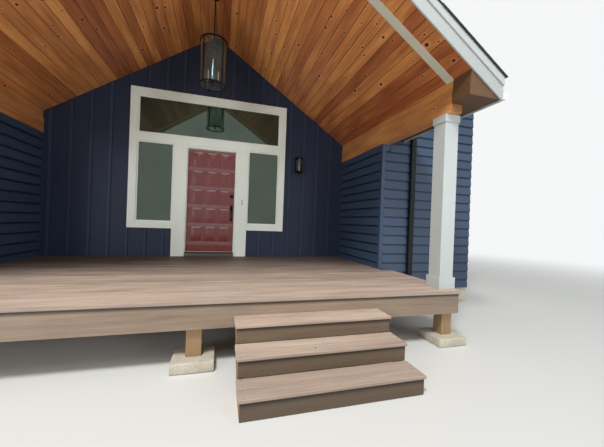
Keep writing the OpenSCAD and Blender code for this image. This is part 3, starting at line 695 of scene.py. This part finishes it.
# Each wood takes the two colours of its name
WOODS = {
    "pine": {
        "knot": (0.022, 0.008, 0.004), "rough": 0.42, "knot_size": 0.0185, "knot_share": 0.8,
        "spacing": 0.22, "tone": 0.2, "rings": 0.45, "streaks": 0.68, "coat": 0.1, "patch": 0.95,
        "red": 0.9, "joint": 0.007,
    },
    "beam": {
        "knot": (0.06, 0.02, 0.008), "ring": 0.018, "knot_size": 0.013, "knot_share": 0.3,
        "spacing": 0.17, "tone": 0.12, "rings": 0.55, "streaks": 0.85, "patch": 0.85, "ends": 0.75,
    },
    # Boxed eaves: darkened wood, a painted shade
    "soffit": {"rough": 0.6, "knot_share": 0.4, "spacing": 0.4},
    "deck": {
        "knot": (0.12, 0.08, 0.055), "rough": 0.66, "ring": 0.014, "knot_size": 0.008,
        "knot_share": 0.2, "tone": 0.12, "rings": 0.16, "streaks": 0.5, "bump": 0.6, "patch": 0.5,
        "joint": 0.006, "roof_shade": (-0.9, 1.8), "ground": 0.45,
    },
    "rim": {
        "knot": (0.08, 0.05, 0.035), "rough": 0.66, "ring": 0.014, "knot_size": 0.010,
        "knot_share": 0.0, "tone": 0.1, "rings": 0.25, "streaks": 0.6, "bump": 0.5, "patch": 0.7,
        "ground": 0.4,
    },
    # Risers: the rim's wood with darker colours, a painted shade
    "riser": {
        "knot": (0.05, 0.03, 0.02), "rough": 0.66, "ring": 0.014, "knot_size": 0.009,
        "knot_share": 0.1, "tone": 0.1, "rings": 0.25, "streaks": 0.55, "bump": 0.5, "patch": 0.6,
        "ground": 0.5,
    },
    "timber": {
        "knot": (0.12, 0.06, 0.025), "rough": 0.7, "ring": 0.014, "knot_size": 0.010,
        "knot_share": 0.15, "tone": 0.12, "rings": 0.4, "bump": 0.5,
    },
}

# Colour and other values of each metal and plastic
METALS = {
    "sill_metal": ((0.075, 0.06, 0.05), {"rough": 0.42, "metallic": 0.3, "wear": 0.2,
                                         "grain": (8.0, 400.0, 400.0)}),
    "black_metal": ((0.005, 0.005, 0.006), {"rough": 0.5, "specular": 0.22}),
    "screw_steel": ((0.10, 0.085, 0.07), {"rough": 0.5, "metallic": 0.3}),
    "hinge_steel": ((0.20, 0.19, 0.18), {"metallic": 0.8}),
    "gutter_white": ((0.70, 0.72, 0.73), {"rough": 0.3, "wear": 0.05}),
    "spout_dark": ((0.007, 0.010, 0.011), {"rough": 0.55, "specular": 0.2}),
    "bell_plastic": ((0.74, 0.74, 0.70), {"rough": 0.45, "wear": 0.06}),
}


def stained(name, kind, along):
    """One of the woods. Rims and risers get a painted shadow below the boards that overhang them."""
    colours = settings()[1]
    values = dict(WOODS[kind])
    if kind == "rim":
        values["nosing"] = (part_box("decking")[0].z, 1.0)
    elif kind == "riser":
        values["nosing"] = (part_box("treads")[0].z, rise_of_treads(settings()[0]))
    return wood(name, along, getattr(colours, kind), getattr(colours, kind + "_dark"), **values)


def navy_boards(name, along):
    """Dark wall paint; the battens catch more light than the slabs."""
    colours = settings()[1]
    share = 1.45 if along == "map" else 1.0
    return paint(name, along, darker(colours.navy, share), rough=0.55, bump=0.5, grit=0.6, dirt=0.05,
                 room_side=colours.plaster, variation=0.16, specular=0.3)


def blue_boards(name, along):
    sizes, colours, _ = settings()
    lap = sizes.lap if along == "map" else 0.0
    return paint(name, along, colours.blue, rough=0.5, bump=0.5, grit=0.5, dirt=0.08,
                 room_side=colours.plaster, variation=0.14, specular=0.35, lap=lap)


def trim_paint(name, along):
    return paint(name, along, settings()[1].trim, rough=0.38, dirt=0.08, variation=0.05)


def edge_paint(name, along):
    return paint(name, along, settings()[1].column, rough=0.4, dirt=0.12, variation=0.06)


def door_paint(name):
    sizes, colours, _ = settings()
    # Heights of the door's rails, which get a painted highlight
    panel = (sizes.door_height - sizes.bottom_rail - sizes.top_rail + sizes.rail) / sizes.door_panels
    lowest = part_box("door")[0].z + sizes.bottom_rail - sizes.rail / 2
    return paint(name, "z", colours.door, rough=0.27, bump=0.3, dirt=0.06, variation=0.14, coat=0.1,
                 sheen=0.8, rail_sheen=(lowest, panel))


# Finishes whose names end in the way that their boards run
BOARD_PAINTS = {
    "navy_boards": navy_boards,
    "blue_boards": blue_boards,
    "trim": trim_paint,
    "edge_paint": edge_paint,
}

MAKERS = {
    "cream_paint": lambda name: paint(
        name, "x", settings()[1].cream, rough=0.45, dirt=0.1, variation=0.06),
    "white_paint": lambda name: paint(
        name, "z", settings()[1].column, rough=0.35, dirt=0.06, variation=0.04),
    "door_paint": door_paint,
    "concrete": concrete,
    "window_glass": window_glass,
    "lantern_glass": lambda name: lamp_glass(name, (0.70, 0.80, 0.79)),
    "sconce_glass": lambda name: lamp_glass(name, (0.64, 0.65, 0.54)),
    "shingle_surface": shingle_surface,
    "wax": wax,
}

NODE_FINISHES = {
    "concrete": ["foundation_walls", "deck_footings"],
    "timber_x": ["deck_beam", "deck_ledger", "ridge_board"],
    "timber_y": ["deck_joists", "stair_stringers", "rafters", "eave_blocking", "roof_boards"],
    "timber_z": ["deck_posts"],
    "rim_x": ["deck_rim"],
    "riser_x": ["stair_risers"],
    "deck_map": ["treads", "decking"],
    "navy_boards_z": ["back_walls", "gable_wall", "apron_walls"],
    "blue_boards_y": ["return_walls"],
    "blue_boards_x": ["wing_walls"],
    "blue_boards_z": ["corner_posts"],
    "spout_dark": ["downspouts"],
    "trim_x": ["door_sill_wall", "entry_header"],
    "edge_paint_x": ["rake_boards"],
    "trim_z": ["wall_piers", "entry_casing", "window_frames", "door_frame"],
    "edge_paint_y": ["eave_fascias"],
    "cream_paint": ["ceiling_strips"],
    "white_paint": ["column_bases", "column_shafts", "column_caps"],
    "window_glass": ["window_glass"],
    "lantern_glass": ["lantern_glass"],
    "sconce_glass": ["wall_light_glass"],
    "sill_metal": ["threshold"],
    "door_paint": ["door"],
    "black_metal": ["door_handles", "lantern_frame", "wall_light"],
    "hinge_steel": ["door_leaves", "frame_hinges"],
    "bell_plastic": ["doorbell"],
    "pine_map": ["ceiling_boards"],
    "beam_y": ["eave_beams", "frieze_boards"],
    "soffit_y": ["eave_soffits"],
    "soffit_x": ["eave_returns"],
    "shingle_surface": ["shingles"],
    "gutter_white": ["gutters"],
    "wax": ["candles"],
}

# Width of the rounding on the edges of a part; none for parts that are only smoothed
EDGES = {
    0.0: ["door_handles", "lantern_frame", "lantern_glass", "wall_light", "wall_light_glass",
          "door_leaves", "frame_hinges", "gutters"],
    0.0015: ["window_frames", "ceiling_strips", "threshold"],
    0.0025: ["door", "door_frame", "entry_casing", "rake_boards", "eave_fascias", "frieze_boards",
             "corner_posts", "column_caps", "column_bases", "doorbell"],
    0.004: ["column_shafts", "deck_rim", "stair_risers", "stair_stringers", "eave_beams",
            "eave_returns", "deck_posts", "deck_joists", "deck_beam", "downspouts"],
    0.012: ["deck_footings"],
}


def finish(name):
    """The material of that name, made when it is first asked for."""
    found = bpy.data.materials.get("finish_" + name)
    if found:
        return found
    if name in METALS:
        colour, values = METALS[name]
        return metal(name, colour, **values)
    if name in MAKERS:
        return MAKERS[name](name)
    kind, _, along = name.rpartition("_")
    if kind in WOODS:
        return stained(name, kind, along)
    return BOARD_PAINTS[kind](name, along)


def new_object(mesh, name, materials):
    """Ends a mesh and returns its object with those materials."""
    data = bpy.data.meshes.new(name)
    mesh.to_mesh(data)
    mesh.free()
    for material in materials:
        data.materials.append(material)
    made = bpy.data.objects.new(name, data)
    bpy.context.scene.collection.objects.link(made)
    return made


def smooth(mesh, name, node, *materials, sharp=SHARP):
    """Ends a part's copy, which then stands for the part."""
    made = new_object(mesh, name, [finish(material) for material in materials])
    made.data.shade_smooth()
    made.data.set_sharp_from_angle(angle=math.radians(sharp))
    part = frame["nodes"][node]
    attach(made, body_of(part)[0])
    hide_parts(node)


def merged(node):
    """The mesh of a part with its doubles merged and its flat faces joined."""
    mesh = bmesh.new()
    mesh.from_mesh(frame["nodes"][node].data)
    bmesh.ops.remove_doubles(mesh, verts=mesh.verts, dist=0.00001)
    bmesh.ops.dissolve_limit(mesh, angle_limit=0.01, verts=mesh.verts, edges=mesh.edges)
    return mesh


class Boards:
    """Collects boards in one mesh, each with its own stretch of the grain map and its own tone."""

    def __init__(self, name, seed):
        self.name = name
        self.mesh = bmesh.new()
        self.map = self.mesh.loops.layers.uv.new("board")
        self.across = self.mesh.loops.layers.uv.new("across")
        self.tone = self.mesh.faces.layers.float.new("tone")
        self.random = random.Random(settings()[2].seed * 1000 + seed)

    def board(self, size, place, bevel=0.0, taper=0.0, edges="long"):
        """A board of size (length, width, thickness) about its middle, put in place by a matrix.

        taper thins the upper long edge, as on a lap board.
        """
        mesh = self.mesh
        made = bmesh.ops.create_cube(mesh, size=1.0)["verts"]
        bmesh.ops.scale(mesh, vec=Vector(size), verts=made)
        if taper:
            for vert in made:
                if vert.co.y > 0 and vert.co.z > 0:
                    vert.co.z -= taper
        faces = {face for vert in made for face in vert.link_faces}
        if bevel:
            lines = {edge for vert in made for edge in vert.link_edges}
            if edges == "long":
                lines = {e for e in lines if abs(e.verts[0].co.x - e.verts[1].co.x) > size[0] / 2}
            cut = bmesh.ops.bevel(
                mesh, geom=list(lines), offset=bevel, offset_type="OFFSET", segments=1,
                profile=0.5, affect="EDGES", material=-1,
            )
            faces = {face for vert in cut["verts"] if vert.is_valid for face in vert.link_faces}
        shift = Vector((self.random.uniform(0, 40), self.random.uniform(0, 40)))
        tone = self.random.uniform(-1, 1)
        verts = set()
        for face in faces:
            face.normal_update()
            normal = face.normal
            face[self.tone] = tone
            for loop in face.loops:
                co = loop.vert.co
                verts.add(loop.vert)
                if abs(normal.x) > 0.7:
                    flat = Vector((co.z, co.y))
                elif abs(normal.y) > 0.7:
                    flat = Vector((co.x, co.z + size[1]))
                else:
                    flat = Vector((co.x, co.y))
                loop[self.map].uv = flat + shift
                loop[self.across].uv = (co.y + size[1] / 2, size[1] / 2 - co.y)
        bmesh.ops.transform(mesh, matrix=place, verts=list(verts))

    def peg(self, radius, height, place, segments=8):
        """A low round head, narrower at its top."""
        bmesh.ops.create_cone(
            self.mesh, cap_ends=True, segments=segments, radius1=radius, radius2=radius * 0.7,
            depth=height, matrix=place,
        )

    def piece(self, material, body=PORCH, node=None):
        """Ends the mesh, which then rides on a body."""
        bmesh.ops.recalc_face_normals(self.mesh, faces=self.mesh.faces)
        made = new_object(self.mesh, self.name, [finish(material)])
        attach(made, body)
        if node:
            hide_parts(node)


def turned(place, x, y, z):
    """A matrix that puts a board's length, width and thickness along x, y and z, at place."""
    rotation = Matrix((Vector(x), Vector(y), Vector(z))).transposed().to_4x4()
    return Matrix.Translation(Vector(place)) @ rotation


FLAT = ((1, 0, 0), (0, 1, 0), (0, 0, 1))


class Roof:
    """Slope of the roof, read from the part. Distances along the slope start at the ridge."""

    def __init__(self):
        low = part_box("ceiling_boards")[0]
        self.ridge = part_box("gable_wall")[1].z
        self.run = -low.x
        self.pitch = (self.ridge - low.z) / self.run
        self.angle = math.atan(self.pitch)
        self.cos, self.sin = math.cos(self.angle), math.sin(self.angle)

    def height(self, x):
        return self.ridge - self.pitch * abs(x)

    def at(self, side, distance, y, above):
        """The point that far down one side's slope, and that far above the ceiling's underside."""
        c, s = self.cos, self.sin
        return Vector((side * (distance * c + above * s), y, self.ridge - distance * s + above * c))

    def axes(self, side):
        """Down the slope, and away from it."""
        return Vector((side * self.cos, 0, -self.sin)), Vector((side * self.sin, 0, self.cos))


def cuts(start, end, lengths, chooser):
    """Splits a run into pieces of about the given lengths."""
    ends = [start]
    while end - ends[-1] > lengths[1]:
        ends.append(ends[-1] + chooser.uniform(*lengths))
    if end - ends[-1] < lengths[0] * 0.3 and len(ends) > 1:
        ends.pop()
    ends.append(end)
    return list(zip(ends, ends[1:]))


class PORCH_OT_finishes(bpy.types.Operator):
    """Gives each part its paint, stain, metal or glass"""

    bl_idname = "porch.finishes"
    bl_label = "Part Finishes"

    def execute(self, context):
        given = set()
        for material, nodes in NODE_FINISHES.items():
            for node in nodes:
                data = frame["nodes"][node].data
                data.materials.clear()
                data.materials.append(finish(material))
                given.add(node)
        missing = set(frame["nodes"]) - given
        if missing:
            raise RuntimeError("no finish for %s" % sorted(missing))
        return {"FINISHED"}


class PORCH_OT_edges(bpy.types.Operator):
    """Rounds the edges of the planed, cast and pressed parts"""

    bl_idname = "porch.edges"
    bl_label = "Rounded Edges"

    def execute(self, context):
        finishes = {node: material for material, nodes in NODE_FINISHES.items() for node in nodes}
        corner = math.radians(45)
        for width, nodes in EDGES.items():
            for node in nodes:
                mesh = merged(node)
                if width:
                    sharp = [e for e in mesh.edges if e.is_manifold and e.calc_face_angle() > corner]
                    bmesh.ops.bevel(
                        mesh, geom=sharp, offset=width, offset_type="OFFSET", segments=2, profile=0.5,
                        affect="EDGES", material=-1, clamp_overlap=True,
                    )
                limit = DOOR_SHARP if node == "door" else SHARP
                smooth(mesh, node + "_rounded", node, finishes[node], sharp=limit)
        return {"FINISHED"}


class PORCH_OT_bell(bpy.types.Operator):
    """Puts a lens and a button on the doorbell"""

    bl_idname = "porch.bell"
    bl_label = "Doorbell"

    def execute(self, context):
        low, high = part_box("doorbell")
        middle = (low + high) / 2
        pegs = Boards("bell_button", 13)
        for height, radius in ((0.026, 0.0105), (-0.026, 0.012)):
            place = (middle.x, low.y - 0.0005, middle.z + height)
            pegs.peg(radius, 0.004, turned(place, (1, 0, 0), (0, 0, 1), (0, -1, 0)), segments=20)
        pegs.piece("black_metal")
        return {"FINISHED"}


class PORCH_OT_candles(bpy.types.Operator):
    """Gives the lamps ivory sleeves and bulbs on dark holders"""

    bl_idname = "porch.candles"
    bl_label = "Candles"

    def execute(self, context):
        sizes = settings()[0]
        mesh = merged("candles")
        low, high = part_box("lantern_frame")
        middle = (low + high) / 2
        inner = sizes.candle_ring - sizes.sleeve_radius - 0.001
        for face in mesh.faces:
            place = face.calc_center_median()
            off = math.hypot(place.x - middle.x, place.y - middle.y)
            reach = max(math.hypot(v.co.x - place.x, v.co.y - place.y) for v in face.verts)
            if off < inner or reach > sizes.sleeve_radius + 0.0005:
                face.material_index = 1
        smooth(mesh, "candles_lit", "candles", "wax", "black_metal")
        return {"FINISHED"}


class PORCH_OT_ceiling(bpy.types.Operator):
    """Lays the ceiling's bevelled boards from the ridge to the beams"""

    bl_idname = "porch.ceiling"
    bl_label = "Ceiling Boards"

    def execute(self, context):
        sizes = settings()[0]
        roof = Roof()
        low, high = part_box("ceiling_boards")
        thickness = (high.z - roof.ridge) * roof.cos
        slope = roof.run / roof.cos
        count = round(slope / sizes.ceiling_board)
        width = slope / count
        boards = Boards("ceiling_boards_laid", 1)
        for side in (-1, 1):
            down, out = roof.axes(side)
            for i in range(count):
                middle = (i + 0.5) * width
                for start, end in cuts(low.y, high.y, CEILING_LENGTHS, boards.random):
                    place = roof.at(side, middle, (start + end) / 2, thickness / 2)
                    size = (end - start - 0.0006, width - 0.0008, thickness)
                    boards.board(size, turned(place, (0, 1, 0), down, out), bevel=sizes.ceiling_bevel)
        boards.piece("pine_map", node="ceiling_boards")
        return {"FINISHED"}


class PORCH_OT_deck(bpy.types.Operator):
    """Lays the deck boards and the treads with rounded edges and gaps"""

    bl_idname = "porch.deck"
    bl_label = "Deck Boards"

    def execute(self, context):
        sizes = settings()[0]
        low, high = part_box("decking")
        thickness = high.z - low.z
        wing_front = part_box("wing_walls")[0].y
        inner = -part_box("deck_ledger")[0].x - 0.001
        boards = Boards("deck_boards_laid", 2)
        screws = Boards("deck_screws", 12)
        rows = round((inner - 0.05) / sizes.joist_pitch)
        y = low.y
        while y < high.y - 0.02:
            width = min(sizes.deck_board, high.y - y)
            half = high.x if y + width < wing_front else inner
            first = -half + boards.random.choice(DECK_JOINTS)
            for start, end in ((-half, first), (first + 0.002, half)):
                place = ((start + end) / 2, y + width / 2, low.z + thickness / 2)
                size = (end - start, width, thickness)
                boards.board(size, turned(place, *FLAT), bevel=0.004, edges="all")
            for i in range(-rows, rows + 1):
                for across in (SCREW_INSET, width - SCREW_INSET):
                    if across > 0.02:
                        place = (i * sizes.joist_pitch, y + across, high.z)
                        screws.peg(sizes.screw, SCREW_HEIGHT, Matrix.Translation(place))
            y += sizes.deck_board + sizes.deck_gap
        boards.piece("deck_map", node="decking")
        self.treads(sizes, screws)
        screws.piece("screw_steel")
        return {"FINISHED"}

    def treads(self, sizes, screws):
        low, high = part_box("treads")
        steps = round((high.y - low.y) / sizes.going)
        rise = rise_of_treads(sizes)
        depth = high.y - low.y - (steps - 1) * sizes.going
        width = (depth - sizes.tread_gap) / 2
        middle = (low.x + high.x) / 2
        boards = Boards("tread_boards_laid", 3)
        for i in range(steps):
            for j in range(2):
                y = low.y + i * sizes.going + j * (width + sizes.tread_gap) + width / 2
                z = low.z + i * rise
                size = (high.x - low.x, width, sizes.tread)
                place = turned((middle, y, z + sizes.tread / 2), *FLAT)
                boards.board(size, place, bevel=0.005, edges="all")
                for x in (low.x + 0.04, middle, high.x - 0.04):
                    for across in (-0.3, 0.3):
                        place = (x, y + across * width, z + sizes.tread)
                        screws.peg(sizes.screw, SCREW_HEIGHT, Matrix.Translation(place))
        boards.piece("deck_map", node="treads")


class PORCH_OT_battens(bpy.types.Operator):
    """Nails upright battens on the wall behind the porch"""

    bl_idname = "porch.battens"
    bl_label = "Wall Battens"

    def execute(self, context):
        sizes = settings()[0]
        roof = Roof()
        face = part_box("back_walls")[0].y
        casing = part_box("entry_casing")[1]
        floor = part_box("decking")[1].z
        wall = -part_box("deck_ledger")[0].x
        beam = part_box("eave_beams")[0].z
        beam_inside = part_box("ceiling_boards")[1].x - sizes.frieze_step
        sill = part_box("apron_walls")[1].z - sizes.sill_trim
        door_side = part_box("door_sill_wall")[1].x + sizes.trim_lap
        half = sizes.batten / 2
        boards = Boards("wall_battens", 4)
        reach = math.ceil(wall / sizes.batten_pitch)
        for i in range(-reach, reach + 1):
            x = sizes.batten_start + i * sizes.batten_pitch
            if abs(x) + half > wall - 0.002:
                continue
            top = roof.height(abs(x) + half) - 0.003
            if abs(x) > beam_inside - half:
                top = beam
            if abs(x) - half > casing.x:
                spans = [(floor, top)]
            else:
                spans = [(casing.z, top)]
                if abs(x) - half > door_side:
                    spans.append((floor, sill))
            for low, high in spans:
                place = (x, face - sizes.batten_depth / 2, (low + high) / 2)
                size = (high - low, sizes.batten, sizes.batten_depth)
                boards.board(size, turned(place, (0, 0, 1), (1, 0, 0), (0, 1, 0)), bevel=0.003)
        boards.piece("navy_boards_map")
        return {"FINISHED"}


class PORCH_OT_cladding(bpy.types.Operator):
    """Hangs lap boards on the side walls and the wings"""

    bl_idname = "porch.cladding"
    bl_label = "Lap Cladding"

    def execute(self, context):
        sizes = settings()[0]
        low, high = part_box("wing_walls")
        inner = -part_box("deck_ledger")[0].x
        beam_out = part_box("eave_beams")[1].x
        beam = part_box("eave_beams")[0].z
        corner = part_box("corner_posts")[1]
        boards = Boards("lap_boards", 5)
        for side in (-1, 1):
            z = low.z
            while z < high.z - 0.01:
                top = min(z + sizes.lap, high.z)
                if top <= beam + 0.02:
                    span = (corner.y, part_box("back_walls")[0].y)
                    self.lap(boards, z, min(top, beam), span, side * inner, side, False)
                start = corner.x if top <= beam + 0.001 else beam_out + 0.002
                self.lap(boards, z, top, (start, high.x), low.y, side, True)
                z += sizes.lap
        boards.piece("blue_boards_map")
        return {"FINISHED"}

    def lap(self, boards, low, high, span, face, side, on_wing):
        """One course: joints every few metres, thick at its lower edge."""
        sizes = settings()[0]
        butt = sizes.lap_butt
        full = high - low >= sizes.lap - 0.001
        hidden = LAP_HIDDEN if full else 0.0
        height = (low + high) / 2 + hidden / 2
        for start, end in cuts(*span, LAP_LENGTHS, boards.random):
            middle = (start + end) / 2
            size = (end - start - 0.0015, high - low + hidden, butt)
            if on_wing:
                place = (side * middle, face - butt / 2, height)
                axes = ((1, 0, 0), (0, 0, 1), (0, -1, 0))
            else:
                place = (face - side * butt / 2, middle, height)
                axes = ((0, 1, 0), (0, 0, 1), (-side, 0, 0))
            boards.board(size, turned(place, *axes), bevel=0.0015, taper=butt - 0.003)


class PORCH_OT_shingles(bpy.types.Operator):
    """Lays courses of shingles and the ridge caps"""

    bl_idname = "porch.shingles"
    bl_label = "Shingles"

    def execute(self, context):
        sizes = settings()[0]
        roof = Roof()
        low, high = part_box("shingles")
        base = (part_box("roof_boards")[1].z - roof.ridge) * roof.cos
        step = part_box("wing_walls")[0].y
        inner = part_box("eave_beams")[1].x
        eave = (high.x - base * roof.sin) / roof.cos
        top = -base * math.tan(roof.angle)
        tabs = Boards("roof_shingles", 6)
        for side in (-1, 1):
            down, out = roof.axes(side)
            axes = (down, (0, side, 0), out)
            edge = eave
            while edge > top + 0.05:
                upper = max(edge - sizes.shingle * SHINGLE_LENGTH, top + 0.01)
                reach = edge * roof.cos + base * roof.sin
                back = high.y if reach < inner + 0.01 else step - 0.003
                y = low.y - tabs.random.uniform(0.0, 0.2)
                while y < back:
                    width = tabs.random.uniform(*TAB_WIDTHS)
                    start, end = max(y, low.y), min(y + width, back)
                    y += width + 0.004
                    if end - start < 0.02:
                        continue
                    dip = tabs.random.choice((0.0, 0.0, 0.006))
                    middle = (edge - dip + upper) / 2
                    place = roof.at(side, middle, (start + end) / 2, base + 0.0045)
                    size = (edge - dip - upper, end - start, sizes.shingle_butt)
                    lift = Matrix.Rotation(-0.02, 4, "Y")
                    tabs.board(size, turned(place, *axes) @ lift, edges="all")
                edge -= sizes.shingle
            y = low.y
            while y < high.y - 0.01:
                end = min(y + CAP_LENGTH, high.y)
                place = roof.at(side, top + 0.072, (y + end) / 2, base + 0.012)
                lift = Matrix.Rotation(0.012, 4, "X")
                tabs.board((CAP_WIDTH, end - y, CAP_THICKNESS), turned(place, *axes) @ lift)
                y += CAP_EXPOSED
        tabs.piece("shingle_surface", node="shingles")
        return {"FINISHED"}


class PORCH_OT_stage(bpy.types.Operator):
    """Sets the floor, the lamps, the even light and the camera"""

    bl_idname = "porch.stage"
    bl_label = "Stage"

    def execute(self, context):
        stage = settings()[2]
        self.floor(stage)
        self.world(stage)
        self.lamps(stage)
        self.camera(context)
        context.scene.view_settings.view_transform = "Standard"
        return {"FINISHED"}

    def floor(self, stage):
        """A pale floor that fades to the backdrop far from the porch."""
        mesh = bmesh.new()
        bmesh.ops.create_grid(mesh, x_segments=1, y_segments=1, size=60.0)
        t = Surface("studio_floor")
        material = t.done({"Base Color": rgba(stage.floor), "Roughness": 0.9})
        away = t.add("ShaderNodeVectorMath", {0: t.place()}, operation="LENGTH").outputs["Value"]
        backdrop = t.add("ShaderNodeEmission", {"Color": rgba(BACKDROP)}).outputs[0]
        share = t.times(t.fade(away, *FLOOR_FADE), t.seen())
        inputs = {0: share, 1: t.shader.outputs[0], 2: backdrop}
        blend = t.add("ShaderNodeMixShader", inputs)
        t.tree.links.new(blend.outputs[0], t.output.inputs[0])
        made = new_object(mesh, "studio_floor", [material])
        made.location.z = -0.002

    def world(self, stage):
        world = bpy.data.worlds.new("studio_light")
        bpy.context.scene.world = world
        world.use_nodes = True
        world.node_tree.nodes.clear()
        t = Tree(world.node_tree)
        even = {"Color": (0.95, 0.99, 1.0, 1), "Strength": stage.world_strength}
        seen = {"Color": rgba(BACKDROP), "Strength": 1.0}
        lights = [t.add("ShaderNodeBackground", inputs).outputs[0] for inputs in (even, seen)]
        blend = t.add("ShaderNodeMixShader", {0: t.seen(), 1: lights[0], 2: lights[1]})
        output = t.add("ShaderNodeOutputWorld")
        t.tree.links.new(blend.outputs[0], output.inputs[0])

    def lamp(self, name, place, target, size, power, colour):
        data = bpy.data.lights.new(name, "AREA")
        data.shape = "RECTANGLE"
        data.size, data.size_y = size
        data.energy = power
        data.color = colour
        made = bpy.data.objects.new(name, data)
        made.location = place
        aim = Vector(target) - Vector(place)
        made.rotation_euler = aim.to_track_quat("-Z", "Y").to_euler()
        bpy.context.scene.collection.objects.link(made)

    def lamps(self, stage):
        self.lamp("key_lamp", (-2.6, -7.2, 12.0), (0.3, -0.6, 1.0), (3.0, 2.4),
                  stage.key_power, (0.99, 1.0, 0.98))
        for side, name, power in ((-1, "left_lamp", stage.left_power),
                                  (1, "right_lamp", stage.right_power)):
            self.lamp(name, (side * 8.5, -11.0, 3.0), (0.0, 1.5, 2.0), (4.0, 3.5),
                      power, (0.97, 1.0, 1.0))
        self.lamp("strip_lamp", (-0.3, -9.5, 9.3), (0.0, 0.8, 3.7), (0.7, 2.0),
                  stage.strip_power, (1.0, 1.0, 1.0))

    def camera(self, context):
        """Puts the camera at the photo's viewpoint."""
        yaw, pitch, roll = (math.radians(angle) for angle in LOOK)
        ahead = Vector((
            math.sin(yaw) * math.cos(pitch),
            math.cos(yaw) * math.cos(pitch),
            math.sin(pitch),
        ))
        level = Vector((math.cos(yaw), -math.sin(yaw), 0.0))
        upright = level.cross(ahead)
        right = math.cos(roll) * level + math.sin(roll) * upright
        up = -math.sin(roll) * level + math.cos(roll) * upright
        data = bpy.data.cameras.new("camera")
        data.sensor_width = SENSOR
        data.lens = FOCAL_PIXELS / IMAGE_WIDTH * SENSOR
        data.clip_start = 0.05
        data.clip_end = 200.0
        made = bpy.data.objects.new("camera", data)
        made.matrix_world = turned(EYE, right, up, -ahead)
        context.scene.collection.objects.link(made)
        context.scene.camera = made


class PORCH_PT_panel(bpy.types.Panel):
    """Buttons for each group of pieces"""

    bl_idname = "PORCH_PT_panel"
    bl_label = "Entrance Porch"
    bl_space_type = "VIEW_3D"
    bl_region_type = "UI"
    bl_category = "Porch"

    def draw(self, context):
        for operator in OPERATORS:
            self.layout.operator(operator.bl_idname)
        for key in GROUPS:
            group = getattr(context.scene, key)
            box = self.layout.box()
            for name in group.__annotations__:
                box.prop(group, name)


GROUPS = {"porch_sizes": PorchSizes, "porch_colours": PorchColours, "porch_stage": PorchStage}
OPERATORS = [
    PORCH_OT_stage,
    PORCH_OT_finishes,
    PORCH_OT_edges,
    PORCH_OT_bell,
    PORCH_OT_candles,
    PORCH_OT_ceiling,
    PORCH_OT_deck,
    PORCH_OT_battens,
    PORCH_OT_cladding,
    PORCH_OT_shingles,
]


def register():
    for made in [*GROUPS.values(), *OPERATORS, PORCH_PT_panel]:
        bpy.utils.register_class(made)
    for name, group in GROUPS.items():
        setattr(bpy.types.Scene, name, PointerProperty(type=group))


def unregister():
    for name in GROUPS:
        delattr(bpy.types.Scene, name)
    for made in reversed([*GROUPS.values(), *OPERATORS, PORCH_PT_panel]):
        bpy.utils.unregister_class(made)


def run(operator):
    family, name = operator.bl_idname.split(".")
    getattr(getattr(bpy.ops, family), name)()


def main():
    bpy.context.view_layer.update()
    register()
    for operator in OPERATORS:
        run(operator)


if __name__ == "__main__":
    main()
